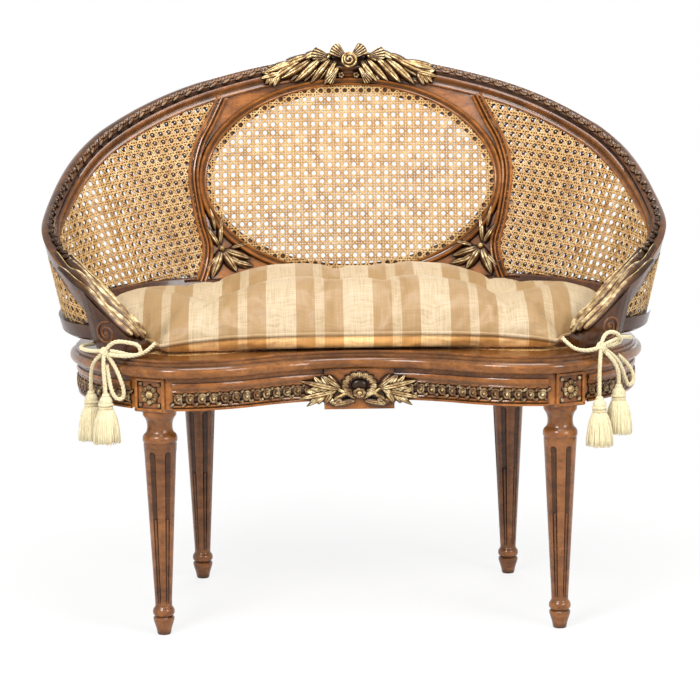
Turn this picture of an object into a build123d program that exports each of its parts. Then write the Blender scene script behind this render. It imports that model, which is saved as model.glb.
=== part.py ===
"""Cane-back basket loveseat with a tied seat cushion. Millimetres, +Z up, front towards -Y."""

import math
import os

from build123d import *

os.makedirs("parts", exist_ok=True)

# Seat plan: the outer edge of the moulded seat frame, all tangent arcs
seat_height = 430.0
seat_half_width = 456.0
widest_y = -39.0
seat_back_depth = 254.0
back_arc_turn = 35.0
side_arc_radius = 280.0
side_arc_turn = 58.0
corner_arc_radius = 95.0
front_hollow = 84.0
hollow_share = 0.54

# Seat frame and aprons
bead_height = 18.0
bead_round = 8.4
step_height = 4.5
step_inset = 9.0
frame_width = 76.0
frame_overhang = 14.0
apron_height = 48.0
apron_thickness = 28.0
drop_block_half_width = 54.0
drop_block_depth = 15.0
drop_block_proud = 9.0
tenon_length = 20.0
tenon_thickness = 10.0
tenon_height = 34.0
tenon_root = 8.0
seat_rebate_depth = 3.0
seat_rebate_width = 10.0

# Legs
leg_block = 52.0
leg_block_drop = 5.0
front_leg_turn = 28.0
rear_leg_turn = 24.0
shaft_top_height = 300.0
shaft_bottom_height = 42.0
shaft_top_radius = 25.5
shaft_bottom_radius = 12.5
neck_radius = 19.0
foot_radius = 16.5
foot_tip_radius = 11.0
flute_count = 6
flute_top_height = 280.0
flute_bottom_height = 52.0
flute_top_radius = 5.3
flute_bottom_radius = 3.2
cable_top_height = 181.0
cable_share = 0.68
cable_sink = 1.2

# Corner blocks and their screws
corner_block_length = 116.0
corner_block_depth = 44.0
corner_block_height = 30.0
screw_radius = 2.5
screw_head_radius = 5.0
screw_length = 46.0
screw_spacing = 48.0

# Basket back: straight lines rise from an ellipse on the seat and flare out
basket_half_width = 447.0
basket_depth = 240.0
side_flare = 0.27
back_lean = 0.18
normal_height = 200.0

# Oval in the middle of the back, seen from the front
oval_half_width = 245.0
oval_half_height = 155.0
oval_centre = 233.0
oval_ring = 14.0
oval_front = 14.0
oval_back = 12.0

# Rails
rail_half_width = 19.0
rail_half_thickness = 16.0
rail_chamfer = 5.0
low_rail_half_width = 13.0
low_rail_half_thickness = 14.0
tongue = 6.0
tongue_half = 8.0
crest_angle = 25.0
shoulder_drop = 37.0
elbow_drop = 113.0
side_drop = 207.0
arm_drop = 256.0
hand_drop = 311.0
tip_drop = 408.0
rail_end_angle = 134.0
low_rail_joint_angle = 38.0
low_rail_rise = 7.0
low_rail_side_height = 44.0
low_rail_front_height = 30.0
terminal_angle = 118.0
terminal_end_angle = 131.0
terminal_half_thickness = 20.0
terminal_start_height = 104.0
terminal_tip_height = 30.0
terminal_nose = 1.6
terminal_foot_angle = 129.0

# Stiles, spandrels and back posts
stile_width = 14.0
stile_bite = 2.0
stile_half_thickness = 14.0
spandrel_half_thickness = 6.0
spandrel_inner = 40.0
post_angle = 33.5
post_spread = 2.4
post_half_thickness = 12.0
slab_reach = 44.0

# Cane, dowels and clearances
cane_thickness = 1.6
cane_gap = 0.5
cane_lift = 0.3
cane_opening_count = 10
cane_opening_share = 0.58
cane_opening_margin = 8.0
joint_gap = 0.1
dowel_radius = 5.0
dowel_length = 44.0
dowel_gap = 0.1

# Cushion, knife-edged, with a welt round its widest line
cushion_clearance = 40.0
cushion_side_end = 131.0
cushion_corner_x = 305.0
cushion_corner_y = -215.0
cushion_front_y = -197.0
cushion_bottom_gap = 0.4
cushion_welt_height = 27.0
cushion_crown = 98.0
tuft_spacing = 210.0
tuft_y = -30.0
tuft_depth = 20.0
tuft_radius = 48.0
cushion_dome_radius = 1500.0
cushion_draw_in = 24.0
cushion_corner = 14.0
welt_radius = 3.0
welt_gap = 0.5

# Tie cords and tassels
cord_radius = 3.2
knot_radius = 8.5
tassel_neck_radius = 11.5
tassel_head_height = 19.0
tassel_skirt_height = 54.0
tassel_skirt_radius = 20.0

seat_bottom = seat_height - bead_height - 2 * step_height
apron_bottom = seat_bottom - apron_height
block_bottom = apron_bottom - leg_block_drop
seat_back_y = widest_y + seat_back_depth


def save(piece, name):
    """Label a finished piece and write its STEP file."""
    piece.label = name
    export_step(piece, f"parts/{name}.step")


def smooth(points, at):
    """Value at a place on a smooth curve through hand-chosen (place, value) points."""
    for k in range(len(points) - 1):
        if at <= points[k + 1][0] or k == len(points) - 2:
            break
    before = points[max(k - 1, 0)]
    start, end = points[k], points[k + 1]
    after = points[min(k + 2, len(points) - 1)]
    span = end[0] - start[0]
    start_slope = (end[1] - before[1]) / (end[0] - before[0]) if k else 0.0
    end_slope = (after[1] - start[1]) / (after[0] - start[0])
    t = (at - start[0]) / span
    return (
        (2 * t**3 - 3 * t**2 + 1) * start[1]
        + (t**3 - 2 * t**2 + t) * span * start_slope
        + (3 * t**2 - 2 * t**3) * end[1]
        + (t**3 - t**2) * span * end_slope
    )


# Plan of the seat
def seat_turns():
    """Arcs of the right half of the plan, from the back centre round to the front centre."""
    turn = math.radians(back_arc_turn)
    rise, run = math.cos(turn), math.sin(turn)
    side_radius = (seat_back_depth * run - seat_half_width * (1 - rise)) / (rise * run - (1 - run) * (1 - rise))
    back_radius = (seat_half_width - side_radius * (1 - run)) / run
    corner_turn = 90 - side_arc_turn
    hollow_start = (
        seat_half_width
        - side_arc_radius * (1 - math.cos(math.radians(side_arc_turn)))
        - corner_arc_radius * math.cos(math.radians(side_arc_turn))
    )
    hollow_turn = 2 * math.degrees(math.atan2(front_hollow, hollow_start))
    radii = hollow_start / math.sin(math.radians(hollow_turn))
    return [
        (back_radius, back_arc_turn),
        (side_radius, 90 - back_arc_turn),
        (side_arc_radius, side_arc_turn),
        (corner_arc_radius, corner_turn),
        (radii * (1 - hollow_share), hollow_turn),
        (-radii * hollow_share, hollow_turn),
    ]


def seat_points(inset):
    """Ends and middles of the arcs of the right half of the plan, moved in by inset."""
    heading = 0.0
    place = Vector(0, seat_back_y)
    points = [place - Vector(0, inset)]
    for radius, turn in seat_turns():
        side = 1 if radius > 0 else -1
        for step in (1, 2):
            first = math.radians(heading)
            last = math.radians(heading + side * turn / 2)
            place = place + Vector(math.sin(last) - math.sin(first), math.cos(last) - math.cos(first)) * radius
            heading = heading + side * turn / 2
            points.append(place - Vector(math.sin(last), math.cos(last)) * inset)
    return points


def seat_face(inset):
    """Face of the seat plan, moved in by inset."""
    right = seat_points(inset)
    left = [Vector(-p.X, p.Y) for p in reversed(right)]
    with BuildSketch() as plan:
        with BuildLine():
            for half in (right, left):
                for k in range(0, len(half) - 2, 2):
                    ThreePointArc(half[k], half[k + 1], half[k + 2])
        make_face()
    return plan.sketch


leg_inset = frame_overhang + leg_block / 2
front_normal = Vector(math.sin(math.radians(front_leg_turn)), -math.cos(math.radians(front_leg_turn)))
front_leg = seat_points(0)[6] - front_normal * leg_inset
rear_radius = seat_turns()[0][0]
rear_turn = math.radians(rear_leg_turn)
rear_normal = Vector(math.sin(rear_turn), math.cos(rear_turn))
rear_leg = Vector(0, seat_back_y - rear_radius) + rear_normal * (rear_radius - leg_inset)
leg_places = {
    "front_right": (front_leg, front_normal),
    "rear_right": (rear_leg, rear_normal),
    "rear_left": (Vector(-rear_leg.X, rear_leg.Y), Vector(-rear_normal.X, rear_normal.Y)),
    "front_left": (Vector(-front_leg.X, front_leg.Y), Vector(-front_normal.X, front_normal.Y)),
}
leg_locations = {
    name: Location((place.X, place.Y, 0), (0, 0, math.degrees(math.atan2(normal.Y, normal.X))))
    for name, (place, normal) in leg_places.items()
}


# Basket surface: plan angle from the back centre, height up the straight line, offset towards the sitter
def basket_point(angle, height):
    """Point of the basket surface at a plan angle and a height above the seat frame."""
    turn = math.radians(angle)
    lean = back_lean if math.cos(turn) > 0 else 0.0
    return Vector(
        (basket_half_width + side_flare * height) * math.sin(turn),
        widest_y + (basket_depth + lean * height) * math.cos(turn),
        seat_height + height,
    )


def section_plane(angle):
    """Plane across the basket: x up the straight line, y towards the sitter."""
    turn = math.radians(angle)
    lean = back_lean if math.cos(turn) > 0 else 0.0
    up = Vector(side_flare * math.sin(turn), lean * math.cos(turn), 1).normalized()
    along = Vector(
        (basket_half_width + side_flare * normal_height) * math.cos(turn),
        -(basket_depth + lean * normal_height) * math.sin(turn),
        0,
    )
    inward = along.cross(up).normalized()
    return Plane(origin=basket_point(angle, 0), x_dir=up, z_dir=up.cross(inward))


def up_length(angle):
    """Length along the straight line for one unit of height."""
    turn = math.radians(angle)
    lean = back_lean if math.cos(turn) > 0 else 0.0
    return math.hypot(1, side_flare * math.sin(turn), lean * math.cos(turn))


def slope_stretch(heights, angle):
    """Stretch of a rail's width in a section that the rail crosses at a slant."""
    step = 1.0
    first = basket_point(angle - step, heights(angle - step))
    last = basket_point(angle + step, heights(angle + step))
    level = math.hypot(last.X - first.X, last.Y - first.Y)
    return math.hypot(level, last.Z - first.Z) / level


def rail_height(angle):
    """Height of the middle of the top rail above the seat frame."""
    crest = oval_centre + oval_half_height + oval_ring + rail_half_width
    return smooth(
        [
            (0, crest),
            (crest_angle, crest - shoulder_drop),
            (49, crest - elbow_drop),
            (72, crest - side_drop),
            (90, crest - arm_drop),
            (110, crest - hand_drop),
            (rail_end_angle, crest - tip_drop),
        ],
        abs(angle),
    )


def low_rail_height(angle):
    """Height of the middle of the bottom rail above the seat frame."""
    middle = oval_centre - oval_half_height - oval_ring - low_rail_half_width
    return smooth(
        [
            (0, middle),
            (low_rail_joint_angle, middle + low_rail_rise),
            (75, low_rail_side_height),
            (105, low_rail_front_height),
            (terminal_angle + 6, low_rail_front_height),
        ],
        abs(angle),
    )


def spread(first, last, count):
    """Evenly spaced values from first to last."""
    return [first + (last - first) * k / (count - 1) for k in range(count)]


def sections(angles, outline):
    """One closed outline in each section plane, for a loft."""
    faces = []
    for angle in angles:
        with BuildSketch(section_plane(angle)) as section:
            with BuildLine():
                Polyline(*outline(angle), close=True)
            make_face()
        faces.append(section.sketch)
    return faces


def rail_outline(heights, half_width, half_thickness, tongue_side):
    """Section of a rail, with a tongue for the cane on its lower (-1) or upper (1) edge, or none (0)."""

    def outline(angle):
        middle = heights(angle) * up_length(angle)
        stretch = slope_stretch(heights, angle)
        half = half_width * stretch
        cut = rail_chamfer * stretch
        t = half_thickness
        far = (half, -t + rail_chamfer), (half, t - rail_chamfer), (half - cut, t)
        near = (-half, t), (-half, -t)
        if tongue_side:
            reach = half + tongue * stretch
            near = (
                (-half, t),
                (-half, tongue_half),
                (-reach, tongue_half),
                (-reach, -tongue_half),
                (-half, -tongue_half),
                (-half, -t),
            )
        points = [*far, *near, (half - cut, -t)]
        flip = 1 if tongue_side <= 0 else -1
        points = [(middle + flip * s, n) for s, n in points]
        return points if flip > 0 else points[::-1]

    return outline


def slab(back, front):
    """Sections of a curved slab of the middle of the back, between two offsets from the basket surface."""
    top = oval_centre + oval_half_height + oval_ring + 2 * rail_half_width

    def outline(angle):
        high = top * up_length(angle)
        return [(10, back), (high, back), (high, front), (10, front)]

    return sections(spread(-slab_reach, slab_reach, 13), outline)


# Legs
shaft_slope = (shaft_top_radius - shaft_bottom_radius) / (shaft_top_height - shaft_bottom_height)


def shaft_plane(height):
    """Plane across a flute, square to the tapered side of the shaft."""
    radius = shaft_bottom_radius + (height - shaft_bottom_height) * shaft_slope
    return Plane(origin=(radius, 0, height), z_dir=(shaft_slope, 0, 1))


with BuildPart() as flute:
    with BuildSketch(shaft_plane(flute_bottom_height)):
        Circle(flute_bottom_radius)
    with BuildSketch(shaft_plane(flute_top_height)):
        Circle(flute_top_radius)
    loft()
    with Locations((shaft_plane(flute_bottom_height).origin)):
        Sphere(flute_bottom_radius)
    with Locations((shaft_plane(flute_top_height).origin)):
        Sphere(flute_top_radius)

# Rod that fills the lower part of a flute
cable_part = (cable_top_height - flute_bottom_height) / (flute_top_height - flute_bottom_height)
cable_bottom_radius = cable_share * flute_bottom_radius
cable_top_radius = cable_share * (flute_bottom_radius + cable_part * (flute_top_radius - flute_bottom_radius))
with BuildPart() as cable:
    with BuildSketch(shaft_plane(shaft_bottom_height + 2)):
        with Locations((-cable_sink, 0)):
            Circle(cable_bottom_radius)
    with BuildSketch(shaft_plane(cable_top_height)):
        with Locations((-cable_sink, 0)):
            Circle(cable_top_radius)
    loft()
    with Locations(shaft_plane(cable_top_height).origin - Vector(cable_sink, 0, 0)):
        Sphere(cable_top_radius)

with BuildPart() as leg_shape:
    with BuildSketch(Plane.XZ):
        with BuildLine():
            ring_low = shaft_bottom_height - 12
            neck_top = block_bottom - 6
            collar_low = neck_top - 13
            torus_high = collar_low - 13
            torus_low = shaft_top_height + 3
            ring_radius = foot_radius + 0.5
            Line((0, 0), (foot_tip_radius, 0))
            ThreePointArc((foot_tip_radius, 0), (foot_radius, ring_low * 0.7), (foot_radius - 3, ring_low))
            ThreePointArc(
                (foot_radius - 3, ring_low), (ring_radius, ring_low + 5), (foot_radius - 3, ring_low + 10)
            )
            Line((foot_radius - 3, ring_low + 10), (shaft_bottom_radius, shaft_bottom_height))
            Line((shaft_bottom_radius, shaft_bottom_height), (shaft_top_radius, shaft_top_height))
            Line((shaft_top_radius, shaft_top_height), (shaft_top_radius - 3, torus_low))
            ThreePointArc(
                (shaft_top_radius - 3, torus_low),
                (shaft_top_radius + 0.5, (torus_low + torus_high) / 2),
                (shaft_top_radius - 3, torus_high),
            )
            Line((shaft_top_radius - 3, torus_high), (neck_radius, torus_high + 2))
            ThreePointArc(
                (neck_radius, torus_high + 2),
                (neck_radius - 1, (torus_high + collar_low) / 2 + 1),
                (neck_radius + 3, collar_low),
            )
            Line((neck_radius + 3, collar_low), (shaft_top_radius - 2, collar_low))
            ThreePointArc(
                (shaft_top_radius - 2, collar_low),
                (shaft_top_radius, (collar_low + neck_top) / 2),
                (shaft_top_radius - 2, neck_top),
            )
            Line((shaft_top_radius - 2, neck_top), (neck_radius + 2, neck_top))
            Line((neck_radius + 2, neck_top), (neck_radius + 2, block_bottom))
            Line((neck_radius + 2, block_bottom), (0, block_bottom))
            Line((0, block_bottom), (0, 0))
        make_face()
    revolve(axis=Axis.Z)
    with PolarLocations(0, flute_count):
        add(flute.part, mode=Mode.SUBTRACT)
        add(cable.part)
    with BuildSketch(Plane.XY.offset(block_bottom)):
        Rectangle(leg_block, leg_block)
    extrude(amount=seat_bottom - block_bottom)


# Aprons
def tenon_location(place, normal, side):
    """Middle of the tenon that enters a leg block from one side along the seat edge."""
    along = Vector(-normal.Y, normal.X) * side
    out = (leg_block - apron_thickness) / 2
    centre = place + normal * out + along * (leg_block - tenon_length + tenon_root) / 2
    turn = math.degrees(math.atan2(along.Y, along.X))
    return Location((centre.X, centre.Y, apron_bottom + apron_height / 2), (0, 0, turn))


with BuildPart() as tenons:
    for place, normal in leg_places.values():
        with Locations(tenon_location(place, normal, -1), tenon_location(place, normal, 1)):
            Box(tenon_length + tenon_root, tenon_thickness, tenon_height)

with BuildPart() as apron_ring:
    with BuildSketch(Plane.XY.offset(apron_bottom)):
        add(seat_face(frame_overhang))
        add(seat_face(frame_overhang + apron_thickness), mode=Mode.SUBTRACT)
    extrude(amount=apron_height)
    with BuildSketch(Plane.XY.offset(apron_bottom - drop_block_depth)):
        with Locations((0, seat_points(frame_overhang)[-1].Y)):
            Rectangle(2 * drop_block_half_width, apron_thickness, align=(Align.CENTER, Align.MIN))
            Rectangle(2 * drop_block_half_width, drop_block_proud, align=(Align.CENTER, Align.MAX))
    extrude(amount=drop_block_depth + apron_height)
    with Locations(*leg_locations.values()):
        Box(leg_block, leg_block, 3 * seat_height, mode=Mode.SUBTRACT)

apron_solids = apron_ring.part.solids().sort_by(SortBy.VOLUME)[-4:]
apron_names = {
    "front": apron_solids.sort_by(Axis.Y)[0],
    "back": apron_solids.sort_by(Axis.Y)[-1],
    "left": apron_solids.sort_by(Axis.X)[0],
    "right": apron_solids.sort_by(Axis.X)[-1],
}
# Each apron takes the tenons that touch it
for side, solid in apron_names.items():
    with BuildPart() as apron:
        add(solid)
        for tenon in tenons.part.solids():
            if tenon.distance_to(solid) < dowel_gap:
                add(tenon)
    save(apron.part, f"apron_{side}")

# Legs
for name, location in leg_locations.items():
    with BuildPart() as leg:
        with Locations(location):
            add(leg_shape.part)
        add(tenons.part, mode=Mode.SUBTRACT)
    save(leg.part, f"leg_{name}")

# Corner blocks behind the legs, and the screws that go up through them into the seat frame
screw_places = []
for place, normal in leg_places.values():
    along = Vector(-normal.Y, normal.X)
    middle = place - normal * (leg_block + corner_block_depth) / 2
    screw_places.extend([middle + along * screw_spacing / 2, middle - along * screw_spacing / 2])
screw_bottom = seat_bottom - corner_block_height
screw_locations = [Location((p.X, p.Y, screw_bottom)) for p in screw_places]

with BuildPart() as screws:
    with Locations(*screw_locations):
        Cylinder(screw_radius, screw_length, align=(Align.CENTER, Align.CENTER, Align.MIN))
        Cone(
            screw_head_radius,
            screw_radius,
            screw_head_radius - screw_radius,
            align=(Align.CENTER, Align.CENTER, Align.MIN),
        )
save(screws.part, "corner_block_screws")

for name, (place, normal) in leg_places.items():
    with BuildPart() as corner_block:
        with BuildSketch(Plane.XY.offset(screw_bottom)):
            back = place - normal * (leg_block / 2 + corner_block_depth)
            with Locations(Location((back.X, back.Y), math.degrees(math.atan2(normal.Y, normal.X)))):
                Rectangle(
                    corner_block_depth + leg_block, corner_block_length, align=(Align.MIN, Align.CENTER)
                )
            add(seat_face(frame_overhang + apron_thickness), mode=Mode.INTERSECT)
            with Locations(Location((place.X, place.Y), math.degrees(math.atan2(normal.Y, normal.X)))):
                Rectangle(leg_block, leg_block, mode=Mode.SUBTRACT)
        extrude(amount=corner_block_height)
        add(tenons.part, mode=Mode.SUBTRACT)
        add(screws.part, mode=Mode.SUBTRACT)
    save(corner_block.part, f"corner_block_{name}")

# Moulded seat frame: a bead with two small steps above it, mitred over the legs
with BuildPart() as seat_ring:
    with BuildSketch(Plane.XY.offset(seat_bottom)):
        add(seat_face(0))
    extrude(amount=bead_height)
    fillet(seat_ring.edges().filter_by(Plane.XY), radius=bead_round)
    for step in (1, 2):
        with BuildSketch(Plane.XY.offset(seat_bottom + bead_height + (step - 1) * step_height)):
            add(seat_face(step_inset + (step - 1) * step_height))
        extrude(amount=step_height)
    with BuildSketch(Plane.XY.offset(seat_bottom)):
        add(seat_face(frame_width))
    extrude(amount=seat_height, mode=Mode.SUBTRACT)
    with BuildSketch(Plane.XY.offset(seat_height - seat_rebate_depth)):
        add(seat_face(frame_width - seat_rebate_width))
    extrude(amount=seat_height, mode=Mode.SUBTRACT)
    add(screws.part, mode=Mode.SUBTRACT)

mitre_centre = Vector(0, widest_y)
mitre_reach = 4 * seat_half_width
seat_frames = {}
corner_names = ["front_right", "rear_right", "rear_left", "front_left", "front_right"]
for side, first, last in zip(("right", "back", "left", "front"), corner_names, corner_names[1:]):
    with BuildPart() as seat_frame:
        add(seat_ring.part)
        with BuildSketch():
            with BuildLine():
                ends = [(leg_places[name][0] - mitre_centre).normalized() for name in (first, last)]
                middle = (ends[0] + ends[1]).normalized()
                far = [mitre_centre + d * mitre_reach for d in (ends[0], middle, ends[1])]
                Polyline(mitre_centre, *far, close=True)
            make_face()
        extrude(amount=2 * seat_height, mode=Mode.INTERSECT)
    seat_frames[side] = seat_frame.part

with BuildPart() as seat_cane:
    with BuildSketch(Plane.XY.offset(seat_height - seat_rebate_depth)):
        add(seat_face(frame_width - seat_rebate_width + cane_gap))
    extrude(amount=cane_thickness)
save(seat_cane.part, "seat_cane")


# Rails of the back
def mirrored(piece, name):
    """Save a right-hand piece, and its left-hand twin."""
    with BuildPart() as twin:
        mirror(piece, about=Plane.YZ)
    save(piece, f"{name}_right")
    save(twin.part, f"{name}_left")
    return twin.part


def basket_location(angle, height, along):
    """Place on the basket, with z along the basket edge (True) or up its straight line (False)."""
    plane = section_plane(angle)
    axis = plane.z_dir if along else plane.x_dir
    return Location(Plane(origin=plane.from_local_coords((height * up_length(angle), 0)), z_dir=axis))


def doweled(piece):
    """The piece with its dowel holes."""
    with BuildPart() as drilled:
        add(piece)
        add(dowel_holes.part, mode=Mode.SUBTRACT)
    return drilled.part


pair = rail_half_width / 2
joint_spots = [
    (crest_angle, rail_height(crest_angle) + pair),
    (crest_angle, rail_height(crest_angle) - pair),
    (terminal_angle, rail_height(terminal_angle)),
    (terminal_angle, low_rail_height(terminal_angle)),
    (low_rail_joint_angle, low_rail_height(low_rail_joint_angle)),
]
joint_locations = [
    basket_location(side * angle, height, True) for angle, height in joint_spots for side in (-1, 1)
]
foot_locations = [
    basket_location(side * angle, 0, False) for angle in (post_angle, terminal_foot_angle) for side in (-1, 1)
]
with BuildPart() as dowels:
    with Locations(*joint_locations, *foot_locations):
        Cylinder(dowel_radius, dowel_length)
save(dowels.part, "joint_dowels")
with BuildPart() as dowel_holes:
    with Locations(*joint_locations, *foot_locations):
        Cylinder(dowel_radius + dowel_gap, dowel_length + 2 * dowel_gap)

with BuildPart() as oval_core:
    with BuildSketch(Plane.XZ):
        with Locations((0, seat_height + oval_centre)):
            Ellipse(oval_half_width + oval_ring, oval_half_height + oval_ring)
    extrude(amount=-3 * basket_depth)

rail_angles = spread(crest_angle, terminal_angle, 25)
low_rail_angles = spread(low_rail_joint_angle, terminal_angle, 21)
crest_angles = spread(-crest_angle, crest_angle, 9)
low_back_angles = spread(-low_rail_joint_angle, low_rail_joint_angle, 11)


def top_outline(tongue_side, gap=0.0):
    """Section of the top rail, or of the room that it takes with a gap round it."""
    return rail_outline(rail_height, rail_half_width + gap, rail_half_thickness + gap, tongue_side)


def low_outline(tongue_side, gap=0.0):
    """Section of the bottom rail, or of the room that it takes with a gap round it."""
    return rail_outline(low_rail_height, low_rail_half_width + gap, low_rail_half_thickness + gap, tongue_side)


with BuildPart() as crest_rail:
    loft(sections(crest_angles, top_outline(0)))
    add(oval_core.part, mode=Mode.SUBTRACT)
with BuildPart() as top_rail:
    loft(sections(rail_angles, top_outline(-1)))
with BuildPart() as low_rail_back:
    loft(sections(low_back_angles, low_outline(0)))
    add(oval_core.part, mode=Mode.SUBTRACT)
with BuildPart() as low_rail:
    loft(sections(low_rail_angles, low_outline(1)))
save(doweled(crest_rail.part), "crest_rail")
mirrored(doweled(top_rail.part), "top_rail")
save(doweled(low_rail_back.part), "bottom_rail_back")
mirrored(doweled(low_rail.part), "bottom_rail")


rail_rooms = []
for angles, outline in (
    (crest_angles, top_outline(0, joint_gap)),
    (rail_angles, top_outline(-1, joint_gap)),
    (low_back_angles, low_outline(0, joint_gap)),
    (low_rail_angles, low_outline(1, joint_gap)),
):
    with BuildPart() as rail_room:
        loft(sections(angles, outline))
    rail_rooms.append(rail_room.part)


# Arm terminals, which stand on the seat frame
def terminal_outline(angle):
    """Section of an arm terminal, which widens, sinks to the seat frame and narrows at its nose."""
    part = (angle - terminal_angle) / (terminal_end_angle - terminal_angle)
    high = terminal_start_height + (terminal_tip_height - terminal_start_height) * min(part, 1)
    low = low_rail_height(terminal_angle) - low_rail_half_width - terminal_start_height * part
    half = min(terminal_half_thickness, rail_half_thickness + rail_half_thickness * part)
    if part > 1:
        high, half = high / 2, half * 0.7
    reach = up_length(angle)
    return [(low * reach, -half), (high * reach, -half), (high * reach, half), (low * reach, half)]


with BuildPart() as terminal:
    angles = spread(terminal_angle, terminal_end_angle, 7) + [terminal_end_angle + terminal_nose]
    loft(sections(angles, terminal_outline), ruled=True)
    split(bisect_by=Plane.XY.offset(seat_height), keep=Keep.TOP)
mirrored(doweled(terminal.part), "arm_terminal")

# Back posts, which carry the bottom rail above the rear legs
with BuildPart() as post:
    loft(
        sections(
            (post_angle - post_spread, post_angle, post_angle + post_spread),
            lambda angle: [
                (-post_half_thickness, -post_half_thickness),
                (low_rail_height(angle), -post_half_thickness),
                (low_rail_height(angle), post_half_thickness),
                (-post_half_thickness, post_half_thickness),
            ],
        )
    )
    split(bisect_by=Plane.XY.offset(seat_height), keep=Keep.TOP)
    for room in rail_rooms:
        add(room, mode=Mode.SUBTRACT)
    keep_low = post.solids().sort_by(Axis.Z)[0]
with BuildPart() as back_post:
    add(keep_low)
mirrored(doweled(back_post.part), "back_post")

# Seat frame members again, now with the holes for the dowels that stand on them
for side, piece in seat_frames.items():
    save(doweled(piece), f"seat_frame_{side}")

# Oval frame: a ring with a tongue behind the cane, in four segments
with BuildPart() as oval_ring_body:
    loft(slab(-oval_back, oval_front))
    with BuildSketch(Plane.XZ):
        with Locations((0, seat_height + oval_centre)):
            Ellipse(oval_half_width + oval_ring, oval_half_height + oval_ring)
            Ellipse(oval_half_width, oval_half_height, mode=Mode.SUBTRACT)
    extrude(amount=-3 * basket_depth, mode=Mode.INTERSECT)
with BuildPart() as oval_tongue:
    loft(slab(-tongue_half, tongue_half))
    with BuildSketch(Plane.XZ):
        with Locations((0, seat_height + oval_centre)):
            Ellipse(oval_half_width + oval_ring / 2, oval_half_height + oval_ring / 2)
            Ellipse(oval_half_width - tongue, oval_half_height - tongue, mode=Mode.SUBTRACT)
    extrude(amount=-3 * basket_depth, mode=Mode.INTERSECT)
with BuildPart() as oval_frame:
    add(oval_ring_body.part)
    add(oval_tongue.part)
far = 3 * oval_half_width
for side, turn in (("top", 0), ("left", 90), ("bottom", 180), ("right", 270)):
    with BuildPart() as oval_segment:
        add(oval_frame.part)
        with BuildSketch(Plane.XZ):
            with Locations(Location((0, seat_height + oval_centre), turn)):
                Triangle(a=far * 2, b=far * math.sqrt(2), c=far * math.sqrt(2), align=(Align.CENTER, Align.MAX), rotation=180)
        extrude(amount=-3 * basket_depth, mode=Mode.INTERSECT)
    save(oval_segment.part, f"oval_frame_{side}")

# Stiles that hug the oval and flare out below it
stile_points = [
    (oval_half_width - 52, oval_centre + 176),
    (oval_half_width - 35, oval_centre + 146),
    (oval_half_width - 11, oval_centre + 97),
    (oval_half_width + 9, oval_centre + 58),
    (oval_half_width + oval_ring + stile_width / 2 - stile_bite, oval_centre + 8),
    (oval_half_width + 9, oval_centre - 62),
    (oval_half_width - 3, oval_centre - 108),
    (oval_half_width + 2, oval_centre - 146),
    (oval_half_width + 17, oval_centre - 185),
]


def stile_face(width, inside=False):
    """Front view of the right stile as a band, or of all that lies between it and the middle."""
    points = [(x, seat_height + z) for x, z in stile_points]
    with BuildSketch(Plane.XZ) as view:
        with BuildLine():
            Spline(*points)
            if inside:
                Polyline(points[-1], (spandrel_inner, points[-1][1]), (spandrel_inner, points[0][1]), points[0])
        if inside:
            make_face()
        else:
            trace(line_width=width)
    return view.sketch


with BuildPart() as stile_tongue:
    loft(slab(-tongue_half, tongue_half))
    with BuildSketch(Plane.XZ):
        add(stile_face(stile_width + 2 * tongue))
        add(stile_face(0, inside=True), mode=Mode.SUBTRACT)
    extrude(amount=-3 * basket_depth, mode=Mode.INTERSECT)
with BuildPart() as stile:
    loft(slab(-stile_half_thickness, stile_half_thickness))
    with BuildSketch(Plane.XZ):
        add(stile_face(stile_width))
    extrude(amount=-3 * basket_depth, mode=Mode.INTERSECT)
    add(stile_tongue.part)
    add(oval_core.part, mode=Mode.SUBTRACT)
    for room in rail_rooms:
        add(room, mode=Mode.SUBTRACT)
with BuildPart() as stile_right:
    add(stile.part.solids().sort_by(SortBy.VOLUME)[-1])
mirrored(stile_right.part, "stile")

# Spandrels between the oval, the stiles and the rails
with BuildPart() as spandrels:
    loft(slab(-spandrel_half_thickness, spandrel_half_thickness))
    with BuildSketch(Plane.XZ):
        add(stile_face(0, inside=True))
        add(stile_face(stile_width), mode=Mode.SUBTRACT)
        with Locations((0, seat_height + oval_centre)):
            Ellipse(oval_half_width + oval_ring, oval_half_height + oval_ring, mode=Mode.SUBTRACT)
    extrude(amount=-3 * basket_depth, mode=Mode.INTERSECT)
    for room in rail_rooms:
        add(room, mode=Mode.SUBTRACT)
spandrel_solids = spandrels.part.solids().sort_by(SortBy.VOLUME)[-2:].sort_by(Axis.Z)
for solid, level in zip(spandrel_solids, ("bottom", "top")):
    with BuildPart() as spandrel:
        add(solid)
    mirrored(spandrel.part, f"spandrel_{level}")


# Cane: one sheet in the oval, and an inner and an outer sheet on each side
def side_cane_outline(back):
    """Section of a side cane sheet, from the bottom rail up to the top rail."""

    def outline(angle):
        low = low_rail_height(angle) * up_length(angle)
        low = low + low_rail_half_width * slope_stretch(low_rail_height, angle) + cane_gap
        high = rail_height(angle) * up_length(angle)
        high = high - rail_half_width * slope_stretch(rail_height, angle) - 2 * cane_gap
        return [(low, back), (high, back), (high, back + cane_thickness), (low, back + cane_thickness)]

    return outline


cane_end_angle = terminal_angle - math.degrees(cane_gap / basket_depth)
for layer, back in (("inner", tongue_half + cane_lift), ("outer", -tongue_half - cane_lift - cane_thickness)):
    with BuildPart() as side_cane:
        loft(sections(rail_angles[:-1] + [cane_end_angle], side_cane_outline(back)))
        with BuildSketch(Plane.XZ):
            add(stile_face(0, inside=True))
            add(stile_face(stile_width + 2 * cane_gap))
        extrude(amount=-3 * basket_depth, mode=Mode.SUBTRACT)
    with BuildPart() as side_cane_right:
        add(side_cane.part.solids().sort_by(SortBy.VOLUME)[-1])
    mirrored(side_cane_right.part, f"cane_{layer}")

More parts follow.
